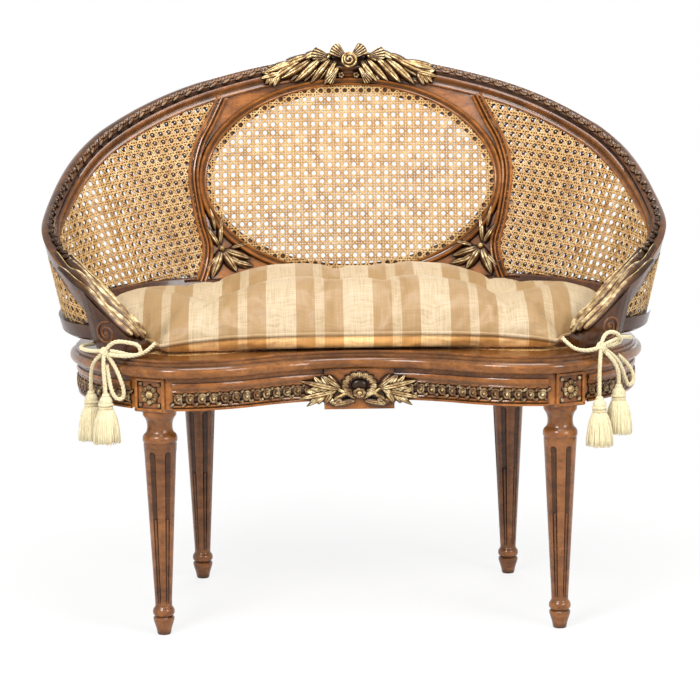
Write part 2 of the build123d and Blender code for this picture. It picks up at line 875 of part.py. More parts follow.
# Openings of the oval sheet: a plain grid that stands for the finer weave
cane_pitch = 2 * oval_half_width / cane_opening_count
cane_opening = cane_opening_share * cane_pitch
cane_opening_places = []
for spot in GridLocations(cane_pitch, cane_pitch, cane_opening_count, cane_opening_count):
    reach_x = abs(spot.position.X) + cane_opening / 2 + cane_opening_margin
    reach_z = abs(spot.position.Y) + cane_opening / 2 + cane_opening_margin
    if (reach_x / oval_half_width) ** 2 + (reach_z / oval_half_height) ** 2 < 1:
        cane_opening_places.append((spot.position.X, seat_height + oval_centre + spot.position.Y))

with BuildPart() as oval_cane:
    loft(slab(tongue_half + cane_lift, tongue_half + cane_lift + cane_thickness))
    with BuildSketch(Plane.XZ):
        with Locations((0, seat_height + oval_centre)):
            Ellipse(oval_half_width - cane_gap, oval_half_height - cane_gap)
    extrude(amount=-3 * basket_depth, mode=Mode.INTERSECT)
    with BuildSketch(Plane.XZ):
        with Locations(cane_opening_places):
            Rectangle(cane_opening, cane_opening)
    extrude(amount=-3 * basket_depth, mode=Mode.SUBTRACT)
save(oval_cane.part, "cane_oval")


# Cushion
def cushion_face(inset, height):
    """Plan of the cushion, moved in by inset, at a height above the seat frame."""
    clear = cushion_clearance - side_flare * cushion_welt_height + inset

    def edge(angle):
        turn = math.radians(angle)
        return Vector(
            (basket_half_width - clear) * math.sin(turn), widest_y + (basket_depth - clear) * math.cos(turn)
        )

    angles = spread(0, cushion_side_end, 7)
    right = [edge(angle) for angle in angles]
    left = [Vector(-p.X, p.Y) for p in right]
    front = Vector(cushion_corner_x - inset, cushion_corner_y + inset)
    front_left = Vector(-front.X, front.Y)
    with BuildSketch(Plane.XY.offset(seat_height + height)) as plan:
        with BuildLine():
            for half in (right, left):
                for k in range(0, 6, 2):
                    ThreePointArc(half[k], half[k + 1], half[k + 2])
            Line(right[-1], front)
            Line(left[-1], front_left)
            ThreePointArc(front, Vector(0, cushion_front_y + inset), front_left)
        make_face()
        fillet(plan.vertices(), cushion_corner - inset / 10)
    return plan.sketch


crown_rise = cushion_crown - cushion_welt_height
tuft_ball_radius = (tuft_radius**2 + tuft_depth**2) / (2 * tuft_depth)
dome_centre = seat_height + cushion_crown - cushion_dome_radius


def tuft_place(x):
    """Centre of the ball that hollows a tuft, x from the middle, under the domed top."""
    dome = math.sqrt(cushion_dome_radius**2 - x**2)
    return Vector(x, tuft_y, dome_centre + dome - tuft_depth + tuft_ball_radius)


with BuildPart() as cushion:
    loft(
        [
            cushion_face(cushion_draw_in, cushion_bottom_gap),
            cushion_face(cushion_draw_in / 3, cushion_welt_height / 2),
            cushion_face(0, cushion_welt_height),
            cushion_face(cushion_draw_in / 2, cushion_welt_height + crown_rise * 0.45),
            cushion_face(2 * cushion_draw_in, cushion_welt_height + crown_rise * 0.8),
            cushion_face(4 * cushion_draw_in, cushion_crown),
        ],
        ruled=True,
    )
    with Locations(Location((0, 0, dome_centre), (90, 0, 0))):
        Cylinder(cushion_dome_radius, 3 * basket_depth, mode=Mode.INTERSECT)
    with Locations([tuft_place(side * tuft_spacing) for side in (-1, 0, 1)]):
        Sphere(tuft_ball_radius, mode=Mode.SUBTRACT)
save(cushion.part, "seat_cushion")

with BuildPart() as welt:
    welt_face = cushion_face(-welt_radius - welt_gap, cushion_welt_height)
    welt_path = welt_face.wire()
    with BuildSketch(Plane(origin=welt_path @ 0, z_dir=welt_path % 0)):
        Circle(welt_radius)
    sweep(path=welt_path)
save(welt.part, "cushion_welt")


# Tie cords: straight runs joined by arcs as large as the runs allow
def cord_path(points):
    """Radii for the corners of a cord's route."""
    points = [Vector(*p) for p in points]
    radii = []
    for before, corner, after in zip(points, points[1:], points[2:]):
        turn = (corner - before).get_angle(after - corner)
        run = min((corner - before).length, (after - corner).length)
        radii.append(0.45 * run / math.tan(math.radians(turn / 2)))
    return points, radii


def cord_tube(name, points):
    """Tube along a cord's route."""
    points, radii = cord_path(points)
    with BuildPart() as tube:
        with BuildLine() as route:
            FilletPolyline(*points, radius=radii)
        path = route.wire()
        with BuildSketch(Plane(origin=path @ 0, z_dir=path % 0)):
            Circle(cord_radius)
        sweep(path=path)
    full = math.pi * cord_radius**2 * path.length
    print(f"{name}: length {path.length:.0f}, least radius {min(radii):.1f}, volume {tube.part.volume / full:.3f}")
    return tube.part


cord_routes = {
    "left": {
        "knot": (-387, -234, 439),
        "loop": [
            (-387, -234, 439), (-381, -237, 449), (-369, -239, 456), (-352, -240, 454), (-334, -241, 450),
            (-331, -242, 435), (-347, -242, 434), (-364, -241, 439), (-378, -238, 441),
        ],
        "hanging_loop": [
            (-387, -234, 439), (-378, -241, 429), (-369, -246, 414), (-363, -249, 399), (-358, -251, 384),
            (-359, -251, 369), (-371, -250, 369), (-378, -247, 384), (-381, -243, 402), (-384, -240, 420),
        ],
        "tie_front": [
            (-311, -222, 449), (-323, -237, 438), (-341, -247, 434), (-360, -249, 434), (-380, -241, 436),
        ],
        "tie_rear": [
            (-387, -119, 441), (-404, -131, 438), (-423, -148, 438), (-430, -173, 438), (-422, -198, 438),
            (-407, -217, 438), (-391, -229, 440),
        ],
        "end_front": [
            (-388, -238, 435), (-389, -245, 422), (-388, -247, 406), (-387, -248, 390), (-386, -248, 374),
        ],
        "end_rear": [
            (-391, -233, 436), (-402, -226, 427), (-409, -218, 412), (-411, -213, 392), (-411, -212, 373),
        ],
    },
    "right": {
        "knot": (367, -250, 439),
        "loop": [
            (367, -250, 439), (369, -244, 450), (378, -236, 459), (391, -228, 458), (401, -221, 449),
            (402, -209, 441), (391, -212, 435), (380, -224, 436), (372, -238, 438),
        ],
        "hanging_loop": [
            (367, -250, 439), (380, -242, 429), (393, -233, 417), (402, -225, 402), (408, -220, 384),
            (414, -214, 371), (424, -205, 379), (421, -203, 394), (411, -209, 408), (397, -220, 421),
        ],
        "tie_front": [
            (311, -222, 449), (322, -238, 437), (336, -249, 433), (352, -254, 434), (364, -252, 438),
        ],
        "tie_rear": [
            (387, -119, 441), (404, -131, 438), (422, -149, 439), (424, -173, 441), (414, -198, 446),
            (398, -219, 448), (383, -236, 444), (371, -246, 441),
        ],
        "end_front": [
            (366, -253, 435), (364, -260, 420), (363, -261, 401), (363, -262, 381), (363, -262, 361),
        ],
        "end_rear": [
            (370, -250, 434), (381, -249, 423), (391, -243, 409), (396, -237, 393), (396, -235, 375),
        ],
    },
}


def tassel_shape(top):
    """Tassel below a point: turned head, rope ring and a spreading skirt."""
    x, y, z = top
    neck = z - tassel_head_height
    hem = neck - tassel_skirt_height
    with BuildPart() as shape:
        with BuildSketch(Plane(origin=(x, y, 0), x_dir=(1, 0, 0), z_dir=(0, -1, 0))):
            with BuildLine():
                Line((0, z), (cord_radius, z))
                ThreePointArc(
                    (cord_radius, z), (tassel_neck_radius - 2, z - 5), (tassel_neck_radius - 2, z - 11)
                )
                ThreePointArc(
                    (tassel_neck_radius - 2, z - 11), (tassel_neck_radius, z - 15), (tassel_neck_radius - 2, neck)
                )
                ThreePointArc(
                    (tassel_neck_radius - 2, neck),
                    (tassel_skirt_radius - 3, neck - tassel_skirt_height * 0.4),
                    (tassel_skirt_radius, hem),
                )
                Line((tassel_skirt_radius, hem), (0, hem))
                Line((0, hem), (0, z))
            make_face()
        revolve(axis=Axis((x, y, 0), (0, 0, 1)))
    return shape.part


for side, routes in cord_routes.items():
    loops = [cord_tube(f"{side} {name}", routes[name]) for name in ("loop", "hanging_loop")]
    with BuildPart() as bow:
        with Locations(Location(routes["knot"], (90, 0, 0))):
            Sphere(knot_radius)
        for loop in loops:
            add(loop)
    save(bow.part, f"tie_bow_{side}")
    tassels = {name: tassel_shape(routes[f"end_{name}"][-1]) for name in ("front", "rear")}
    for name, tassel in tassels.items():
        save(tassel, f"tassel_{name}_{side}")
        for piece in ("tie", "end"):
            tube = cord_tube(f"{side} {piece} {name}", routes[f"{piece}_{name}"])
            with BuildPart() as cord:
                add(tube)
                add(bow.part, mode=Mode.SUBTRACT)
                add(tassel, mode=Mode.SUBTRACT)
            with BuildPart() as free_cord:
                add(cord.part.solids().sort_by(SortBy.VOLUME)[-1])
            save(free_cord.part, f"{'tie_cord' if piece == 'tie' else 'tassel_cord'}_{name}_{side}")
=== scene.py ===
import math
import random

import bpy
import bmesh
from mathutils import Matrix, Vector


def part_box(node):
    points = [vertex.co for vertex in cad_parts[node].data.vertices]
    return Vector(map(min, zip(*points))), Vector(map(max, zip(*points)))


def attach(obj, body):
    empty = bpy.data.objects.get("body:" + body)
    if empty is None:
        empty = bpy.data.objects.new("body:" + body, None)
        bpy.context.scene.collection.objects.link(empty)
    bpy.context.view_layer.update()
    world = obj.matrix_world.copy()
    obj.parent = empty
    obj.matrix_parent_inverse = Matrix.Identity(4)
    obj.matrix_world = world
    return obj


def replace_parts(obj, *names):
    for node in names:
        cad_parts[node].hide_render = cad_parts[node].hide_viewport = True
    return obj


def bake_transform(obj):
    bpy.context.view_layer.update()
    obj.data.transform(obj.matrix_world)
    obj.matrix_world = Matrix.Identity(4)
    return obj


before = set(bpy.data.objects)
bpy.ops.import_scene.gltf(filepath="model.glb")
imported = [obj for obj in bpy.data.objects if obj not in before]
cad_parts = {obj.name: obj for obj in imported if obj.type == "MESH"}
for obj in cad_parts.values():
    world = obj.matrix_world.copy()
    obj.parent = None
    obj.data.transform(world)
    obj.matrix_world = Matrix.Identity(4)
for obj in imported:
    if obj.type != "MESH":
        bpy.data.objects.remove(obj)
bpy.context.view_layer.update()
scene = bpy.context.scene
random.seed(7)


ORIGIN, UP, FRONT, RIGHT = Vector((0, 0, 0)), Vector((0, 0, 1)), Vector((0, -1, 0)), Vector((1, 0, 0))

# Basket of the back, in metres, heights above the seat: rails as (plan angle, height), stile as (x, height)
SEAT = 0.430
BASKET_X, BASKET_Y, BASKET_BACK = .447, .24, -.039
FLARE, LEAN, MID_HEIGHT, MID_FLARE = .27, .18, .2, .054
RAIL_HEIGHTS = [(0, .421), (25, .384), (49, .308), (72, .214), (90, .165), (110, .110), (134, .013)]
LOW_RAIL_HEIGHTS = [(0, .051), (38, .058), (75, .044), (105, .030), (124, .030)]
STILE = [(.193, .409), (.210, .379), (.234, .330), (.254, .291), (.264, .241), (.254, .171), (.242, .125),
         (.247, .087), (.262, .048)]
OVAL = (.245, .155, .233)  # half width, half height, middle
ARM_DRAW = .0065  # how far the arms are drawn in


def smooth(points, at):
    """Value at a place on a smooth curve through (place, value) points."""
    for k in range(len(points) - 1):
        if at <= points[k + 1][0] or k == len(points) - 2:
            break
    before, start, end = points[max(k - 1, 0)], points[k], points[k + 1]
    after = points[min(k + 2, len(points) - 1)]
    span = end[0] - start[0]
    first = (end[1] - before[1]) / (end[0] - before[0]) if k else 0.0
    last = (after[1] - start[1]) / (after[0] - start[0])
    t = (at - start[0]) / span
    return ((2 * t**3 - 3 * t**2 + 1) * start[1] + (t**3 - 2 * t**2 + t) * span * first
            + (3 * t**2 - 2 * t**3) * end[1] + (t**3 - t**2) * span * last)


def clamp(share):
    return max(0, min(1, share))


def ease(share):
    """Smooth step from 0 to 1."""
    share = clamp(share)
    return share * share * (3 - 2 * share)


def rail_height(angle):
    return smooth(RAIL_HEIGHTS, abs(angle))


def low_rail_height(angle):
    return smooth(LOW_RAIL_HEIGHTS, abs(angle))


def axes(angle):
    """Directions up the basket, in towards the sitter and along it at a plan angle."""
    turn = math.radians(angle)
    lean = LEAN if math.cos(turn) > 0 else 0.0
    up = Vector((FLARE * math.sin(turn), lean * math.cos(turn), 1)).normalized()
    along = Vector(((BASKET_X + MID_FLARE) * math.cos(turn),
                    -(BASKET_Y + lean * MID_HEIGHT) * math.sin(turn), 0))
    return up, along.cross(up).normalized(), along.normalized()


def basket(angle, height, inward=0.0):
    """Point of the basket surface, moved towards the sitter; the arms are drawn in a little."""
    turn = math.radians(angle)
    lean = LEAN if math.cos(turn) > 0 else 0.0
    drawn = ARM_DRAW * ease((abs(angle) - 50) / 36) * ease((126 - abs(angle)) / 24) * clamp(height / .14)
    place = Vector(((BASKET_X - drawn + FLARE * height) * math.sin(turn),
                    BASKET_BACK + (BASKET_Y + lean * height) * math.cos(turn), SEAT + height))
    return place + axes(angle)[1] * inward


def angle_at(x, height):
    """Plan angle of the back at a place in the front view."""
    return math.degrees(math.asin(max(-1, min(1, x / (BASKET_X + FLARE * height)))))


def stretch(heights, angle):
    """Widening of a rail's section where the rail runs at a slant."""
    first, last = basket(angle - 1, heights(angle - 1)), basket(angle + 1, heights(angle + 1))
    level = math.hypot(last.x - first.x, last.y - first.y)
    return math.hypot(level, last.z - first.z) / level


def arc(a, b, c, count):
    """Points on the arc through three plan points, without the last."""
    (ax, ay), (bx, by), (cx, cy) = a, b, c
    d = 2 * (ax * (by - cy) + bx * (cy - ay) + cx * (ay - by))
    ux = ((ax**2 + ay**2) * (by - cy) + (bx**2 + by**2) * (cy - ay) + (cx**2 + cy**2) * (ay - by)) / d
    uy = ((ax**2 + ay**2) * (cx - bx) + (bx**2 + by**2) * (ax - cx) + (cx**2 + cy**2) * (bx - ax)) / d
    radius = math.hypot(ax - ux, ay - uy)
    first, middle, last = (math.atan2(y - uy, x - ux) for x, y in (a, b, c))
    sweep = (last - first) % (2 * math.pi)
    if not 0 < (middle - first) % (2 * math.pi) < sweep:
        sweep -= 2 * math.pi
    turns = [first + sweep * k / count for k in range(count)]
    return [(ux + radius * math.cos(turn), uy + radius * math.sin(turn)) for turn in turns]


SEAT_PLAN = [(0, .215), (.203, .184), (.387, .093), (.438, .035), (.456, -.039), (.421, -.175), (.324, -.276),
             (.300, -.287), (.274, -.291), (.208, -.281), (.148, -.252), (.077, -.218), (0, -.207)]


def seat_line(inset, count=14):
    """Closed plan line of the seat, moved in, from the back centre round by the right."""
    right = []
    for k in range(0, len(SEAT_PLAN) - 2, 2):
        right += arc(SEAT_PLAN[k], SEAT_PLAN[k + 1], SEAT_PLAN[k + 2], count)
    points = right + [SEAT_PLAN[-1]] + [(-x, y) for x, y in reversed(right[1:])]
    moved = []
    for k, (x, y) in enumerate(points):
        (px, py), (nx, ny) = points[k - 1], points[(k + 1) % len(points)]
        tx, ty = nx - px, ny - py
        size = math.hypot(tx, ty)
        moved.append(Vector((x + ty / size * inset, y - tx / size * inset, 0)))
    return moved


# Mesh building
class Shape:
    """Vertices, faces and relief gathered from several parts; relief says how much a place stands out: carved
    materials gild where it is high, most materials paint shade where it is low, and the silk paints light where
    it is high, below the welt.
    """

    def __init__(self):
        self.verts, self.faces, self.relief = [], [], []

    def add(self, verts, faces, relief=None, place=None):
        base = len(self.verts)
        self.verts += [place @ v if place else v for v in verts]
        self.faces += [tuple(base + k for k in face) for face in faces]
        self.relief += list(relief) if relief else [0.5] * len(verts)

    def piece(self, name, material, body="root", slot="wood"):
        mesh = bpy.data.meshes.new(name)
        mesh.from_pydata([tuple(v) for v in self.verts], [], self.faces)
        mesh.update()
        repair = bmesh.new()
        repair.from_mesh(mesh)
        bmesh.ops.recalc_face_normals(repair, faces=repair.faces)
        repair.to_mesh(mesh)
        repair.free()
        mesh.shade_smooth()
        layer = mesh.attributes.new("relief", "FLOAT", "POINT")
        layer.data.foreach_set("value", self.relief)
        mesh.materials.append(material)
        obj = bpy.data.objects.new(name, mesh)
        scene.collection.objects.link(obj)
        if body:
            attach(obj, body)
        return obj

    def moulding(self, name, material, *nodes):
        """Wooden piece whose smooth shading keeps the crisp edges; it stands for the nodes."""
        piece = self.piece(name, material)
        if nodes:
            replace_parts(piece, *nodes)
        piece.data.set_sharp_from_angle(angle=math.radians(42))


def rings(rows, closed=False):
    """Faces joining equal rings of vertices; an open row of rings is capped."""
    size = len(rows[0])
    verts = [v for row in rows for v in row]
    faces = []
    for k in range(len(rows) - (0 if closed else 1)):
        a, b = k * size, (k + 1) % len(rows) * size
        faces += [(a + j, a + (j + 1) % size, b + (j + 1) % size, b + j) for j in range(size)]
    if not closed:
        faces += [tuple(range(size))[::-1], tuple(len(verts) - size + j for j in range(size))]
    return verts, faces


def toned(mesh, tone):
    """The mesh with the same relief all over."""
    verts, faces = mesh
    return verts, faces, [tone] * len(verts)


def circle(radius, count, height=0.0, extra=0):
    """Points round the z axis; extra ones go on past the first."""
    turns = [2 * math.pi * j / count for j in range(count + extra)]
    return [Vector((radius * math.cos(turn), radius * math.sin(turn), height)) for turn in turns]


def spiral(outer, shrink, start, turn, count, low=0.0, rise=0.0):
    """Line that winds inwards about the z axis."""
    line = []
    for k in range(count + 1):
        t = k / count
        radius, angle = outer - shrink * t, start + turn * t
        line.append(Vector((radius * math.cos(angle), radius * math.sin(angle), low + rise * t)))
    return line


def frames(points, closed=False):
    """Tangent, side and up at each point of a line, turned as little as possible."""
    count = len(points)
    result = []
    side = None
    for k in range(count):
        before = points[k - 1] if k or closed else points[k]
        after = points[(k + 1) % count] if k < count - 1 or closed else points[k]
        tangent = (after - before).normalized()
        if side is None:
            side = tangent.cross(UP if abs(tangent.z) < .9 else RIGHT)
        side = (side - tangent * side.dot(tangent)).normalized()
        result.append((tangent, side, tangent.cross(side)))
    return result


def tube(points, radius, sides=8, closed=False):
    """Tube along a line; radius is a number or one for each point."""
    rows = []
    spokes = [(math.cos(2 * math.pi * j / sides), math.sin(2 * math.pi * j / sides)) for j in range(sides)]
    for k, (p, (_, side, up)) in enumerate(zip(points, frames(points, closed))):
        r = radius[k] if isinstance(radius, list) else radius
        rows.append([p + (side * x + up * y) * r for x, y in spokes])
    return rings(rows, closed)


def ball(centre, radius, squash=(1, 1, 1), around=12, down=8):
    """Closed ball with a ring of faces at each pole."""
    rows = []
    for k in range(down + 1):
        polar = math.pi * (k + .06) / (down + .12)
        rows.append([centre + Vector((squash[0] * math.sin(polar) * math.cos(2 * math.pi * j / around),
                                      squash[1] * math.sin(polar) * math.sin(2 * math.pi * j / around),
                                      squash[2] * math.cos(polar))) * radius for j in range(around)])
    return rings(rows)


def travelled(points):
    """Distance along a line at each of its points."""
    result = [0.0]
    for a, b in zip(points, points[1:]):
        result.append(result[-1] + (b - a).length)
    return result


def resample(points, step):
    """Points about step apart along a line."""
    lengths = travelled(points)
    count = max(2, round(lengths[-1] / step))
    result, k = [], 0
    for j in range(count + 1):
        at = lengths[-1] * j / count
        while k < len(points) - 2 and lengths[k + 1] < at:
            k += 1
        span = lengths[k + 1] - lengths[k]
        result.append(points[k].lerp(points[k + 1], (at - lengths[k]) / span if span else 0))
    return result


def curve_through(points, count):
    """Smooth line through given points, each a Vector."""
    result = []
    for k in range(len(points) - 1):
        p0, p1 = points[max(k - 1, 0)], points[k]
        p2, p3 = points[k + 1], points[min(k + 2, len(points) - 1)]
        for j in range(count):
            t = j / count
            result.append(.5 * (2 * p1 + (p2 - p0) * t + (2 * p0 - 5 * p1 + 4 * p2 - p3) * t**2
                                + (3 * p1 - p0 - 3 * p2 + p3) * t**3))
    return result + [points[-1]]


def columns(x, y, z, origin):
    """Matrix with these axes and origin."""
    return Matrix(list(zip(x, y, z, origin)) + [(0, 0, 0, 1)])


def placed(origin, along, normal):
    """Matrix with x along, z out along the normal."""
    z = normal.normalized()
    x = (along - z * along.dot(z)).normalized()
    return columns(x, z.cross(x), z, origin)


# Materials
def nodes_of(name):
    material = bpy.data.materials.new(name)
    material.use_nodes = True
    tree = material.node_tree
    return material, tree, tree.nodes["Principled BSDF"]


def feed(tree, target, inputs):
    """Links or sets a node's inputs."""
    for key, value in inputs.items():
        if isinstance(value, bpy.types.NodeSocket):
            tree.links.new(value, target.inputs[key])
        else:
            target.inputs[key].default_value = value


def node(tree, kind, inputs=None, **settings):
    made = tree.nodes.new("ShaderNode" + kind)
    for key, value in settings.items():
        setattr(made, key, value)
    feed(tree, made, inputs or {})
    return made


def coordinates(tree, scale=None):
    """The object's own coordinates, stretched where a scale is given."""
    place = node(tree, "TexCoord").outputs["Object"]
    return node(tree, "Mapping", {"Vector": place, "Scale": scale}).outputs["Vector"] if scale else place


def noise(tree, place, scale, detail, roughness=.5, distortion=0.0):
    return node(tree, "TexNoise", {"Vector": place, "Scale": scale, "Detail": detail, "Roughness": roughness,
                                   "Distortion": distortion}).outputs["Fac"]


def relief_of(tree):
    return node(tree, "Attribute", attribute_name="relief").outputs["Fac"]


def bump(tree, height, strength, distance):
    return node(tree, "Bump", {"Height": height, "Strength": strength, "Distance": distance}).outputs["Normal"]


def ramp(tree, factor, stops, interpolation="LINEAR"):
    made = node(tree, "ValToRGB")
    made.color_ramp.interpolation = interpolation
    while len(made.color_ramp.elements) < len(stops):
        made.color_ramp.elements.new(.5)
    for element, (place, colour) in zip(made.color_ramp.elements, stops):
        element.position = place
        element.color = (*colour, 1)
    tree.links.new(factor, made.inputs["Fac"])
    return made.outputs["Color"]


def mix(tree, factor, a, b, blend="MIX"):
    made = node(tree, "Mix", data_type="RGBA", blend_type=blend)
    for socket, value in ((made.inputs[0], factor), (made.inputs[6], a), (made.inputs[7], b)):
        if isinstance(value, bpy.types.NodeSocket):
            tree.links.new(value, socket)
        else:
            socket.default_value = value if isinstance(value, (int, float)) else (*value, 1)
    return made.outputs[2]


def tinted(tree, colour, factor, stops, share=1.0):
    """The colour times a ramp."""
    return mix(tree, share, colour, ramp(tree, factor, stops), "MULTIPLY")


def grey(value):
    return (value, value, value)


def wood(name, dark, middle, light, gold=0.0, tone=False):
    """Polished, aged wood with painted shade on faces that look up, in crevices and in corners, and edges
    lighter as wear and painted highlight; gold gilds raised parts, and gold and tone paint shade where relief
    is low.
    """
    material, tree, shader = nodes_of(name)
    place, grain_place = coordinates(tree), coordinates(tree, (14, 60, 42))
    grain = noise(tree, grain_place, 1.6, 8, .66, .4)
    patches = noise(tree, place, 9, 5, .6)
    colour = ramp(tree, mix(tree, .45, grain, patches), [(.30, dark), (.50, middle), (.70, light)])
    colour = tinted(tree, colour, noise(tree, grain_place, 6, 4, .7), [(.34, grey(.62)), (.44, grey(1))])
    geometry = node(tree, "NewGeometry").outputs
    # painted shade: faces that look up are darkened
    facing_up = node(tree, "SeparateXYZ", {"Vector": geometry["Normal"]}).outputs["Z"]
    colour = tinted(tree, colour, facing_up, [(.35, grey(1)), (.92, grey(.48))])
    # lighter edges as wear and painted highlight, darker crevices as painted shade
    wear_highlight_and_crevice_shade = [(.42, grey(.30)), (.49, grey(1)), (.56, (1.5, 1.38, 1.2))]
    colour = tinted(tree, colour, geometry["Pointiness"], wear_highlight_and_crevice_shade, .8)
    # painted shade in corners and recesses from ambient occlusion
    ao_shade = node(tree, "AmbientOcclusion", {"Distance": .014}, samples=6).outputs["AO"]
    colour = tinted(tree, colour, ao_shade, [(.30, grey(.16)), (.80, grey(1))])
    relief = relief_of(tree)
    # tone: painted shade where relief is low, in grooves, flutes and under the carved band
    if tone:
        colour = tinted(tree, colour, relief, [(0, (.27, .25, .25)), (1, grey(1))])
    if gold:
        rub = noise(tree, place, 85, 5, .6)
        rubbed = node(tree, "Math", {0: rub, 1: .40, 2: relief}, operation="MULTIPLY_ADD").outputs[0]
        mask = ramp(tree, rubbed, [(.70, grey(0)), (.98, grey(gold))])
        # painted shade in the carving's hollows, where relief is low
        colour = tinted(tree, colour, relief, [(.10, grey(.20)), (.6, grey(1))])
        gilt = ramp(tree, rub, [(.36, (.24, .13, .045)), (.50, (.58, .40, .17)), (.63, (.90, .72, .40))])
        colour = mix(tree, mask, colour, gilt)
        feed(tree, shader, {"Metallic": ramp(tree, mask, [(0, grey(0)), (1, grey(.45))])})
    feed(tree, shader, {"Base Color": colour, "Normal": bump(tree, grain, .12, .001),
                        "Roughness": ramp(tree, patches, [(.3, grey(.20)), (.7, grey(.34))]),
                        "Coat Weight": .05 if gold else .40, "Coat Roughness": .07, "Specular IOR Level": .22})
    return material


def cane_material():
    material, tree, shader = nodes_of("cane")
    place = coordinates(tree)
    spots = noise(tree, place, 60, 4)
    blend = mix(tree, .15, spots, noise(tree, place, 7, 3))
    colour = ramp(tree, blend, [(.32, (.42, .22, .068)), (.5, (.62, .385, .150)), (.68, (.76, .545, .27))])
    # painted shade: strands darkened on their edges and backs, where relief is low
    sides = [(.1, (.16, .11, .08)), (.55, (.72, .62, .52)), (1, grey(1))]
    feed(tree, shader, {"Base Color": tinted(tree, colour, relief_of(tree), sides),
                        "Roughness": ramp(tree, spots, [(.3, grey(.34)), (.7, grey(.55))])})
    return material


STRIPE_PITCH = .119


def silk_material():
    """Satin stripes across the cushion, with fine woven lines; relief marks the cover below the welt, which
    gets painted light there, brighter than its own colour, where it lies in shade.
    """
    material, tree, shader = nodes_of("silk_stripe")
    across = node(tree, "SeparateXYZ", {"Vector": coordinates(tree)}).outputs["X"]
    turns = node(tree, "Math", {0: across, 1: 1 / STRIPE_PITCH, 2: .5}, operation="MULTIPLY_ADD").outputs[0]
    part = node(tree, "Math", {0: turns}, operation="FRACT").outputs[0]
    edges = [(0, grey(.75)), (.060, grey(0)), (.305, grey(1)), (.695, grey(0)), (.940, grey(.75))]
    bands = ramp(tree, part, edges, "CONSTANT")
    lines = noise(tree, coordinates(tree, (900, 22, 22)), 1, 3, .6)
    picks = noise(tree, coordinates(tree, (26, 700, 40)), 1, 3, .6)
    woven = mix(tree, .45, lines, picks)
    gold = ramp(tree, woven, [(.35, (.27, .157, .058)), (.65, (.36, .222, .093))])
    ivory = ramp(tree, woven, [(.38, (.35, .245, .122)), (.47, (.45, .340, .20)), (.60, (.51, .40, .265))])
    colour = mix(tree, bands, gold, ivory)
    # painted light: the cover below the welt is brightened where it lies in shade
    colour = mix(tree, relief_of(tree), colour, mix(tree, 1.0, colour, (2.35, 1.95, 1.45), "MULTIPLY"))
    feed(tree, shader, {"Base Color": colour, "Normal": bump(tree, woven, .12, .0006),
                        "Roughness": ramp(tree, bands, [(0, grey(.46)), (1, grey(.54))]),
                        "Sheen Weight": .25, "Sheen Roughness": .4, "Sheen Tint": (1, .85, .6, 1)})
    return material


def cord_material(name, dark, light, scale):
    material, tree, shader = nodes_of(name)
    threads = noise(tree, coordinates(tree, scale), 1, 4, .65)
    colour = ramp(tree, threads, [(.32, dark), (.62, light)])
    # painted shade between the strands, where relief is low
    colour = tinted(tree, colour, relief_of(tree), [(.05, (.34, .28, .20)), (.5, grey(1))])
    feed(tree, shader, {"Base Color": colour, "Normal": bump(tree, threads, .3, .0008), "Sheen Weight": .3,
                        "Roughness": ramp(tree, threads, [(.3, grey(.75)), (.7, grey(.5))])})
    return material


def steel_material():
    material, tree, shader = nodes_of("screw_steel")
    marks = noise(tree, coordinates(tree), 300, 4)
    feed(tree, shader, {"Base Color": ramp(tree, marks, [(.3, grey(.28)), (.7, grey(.5))]),
                        "Roughness": ramp(tree, marks, [(.3, grey(.3)), (.7, grey(.55))]), "Metallic": 1.0})
    return material


WALNUT = wood("walnut", (.045, .014, .003), (.195, .070, .0140), (.39, .154, .036))
RAILING = wood("rail_walnut", (.040, .014, .005), (.170, .062, .017), (.34, .135, .040), tone=True)
CARVED = wood("carved_walnut", (.030, .013, .006), (.085, .037, .015), (.16, .075, .030), gold=.9)
BAND = wood("carved_band", (.060, .026, .011), (.160, .074, .030), (.30, .145, .062), gold=.18)
INNER = wood("plain_walnut", (.10, .045, .02), (.22, .105, .045), (.33, .17, .08))
CANE = cane_material()
SILK = silk_material()
ROPE = cord_material("cord_cream", (.54, .43, .22), (.79, .70, .46), (420, 420, 420))
FRINGE = cord_material("tassel_cream", (.52, .41, .20), (.82, .74, .49), (900, 900, 30))
STEEL = steel_material()

for name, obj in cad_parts.items():
    material = RAILING if name.startswith(("bottom_rail", "arm_terminal")) else WALNUT
    if name.startswith(("corner_block", "joint_dowels")):
        material = STEEL if name.endswith("screws") else INNER
    obj.data.materials.clear()
    obj.data.materials.append(material)


# Camera
CAMERA_TURN, CAMERA_PLACE = (1.39, 8.32, -.60), (-.102, -3.839, .964)
SENSOR, FOCAL, PICTURE = 36, 2395, 700


def camera():
    """Camera fitted to the photo: yaw, pitch and roll in degrees, focal length and picture size in pixels."""
    yaw, pitch, roll = (math.radians(turn) for turn in CAMERA_TURN)
    forward = Vector((math.sin(yaw) * math.cos(pitch), math.cos(yaw) * math.cos(pitch), -math.sin(pitch)))
    right = Vector((math.cos(yaw), -math.sin(yaw), 0))
    up = right.cross(forward)
    right, up = right * math.cos(roll) + up * math.sin(roll), up * math.cos(roll) - right * math.sin(roll)
    data = bpy.data.cameras.new("camera")
    data.sensor_width = SENSOR
    data.lens = SENSOR * FOCAL / PICTURE
    data.clip_end = 60
    obj = bpy.data.objects.new("camera", data)
    obj.matrix_world = columns(right, up, -forward, CAMERA_PLACE)
    scene.collection.objects.link(obj)
    scene.camera = obj


camera()


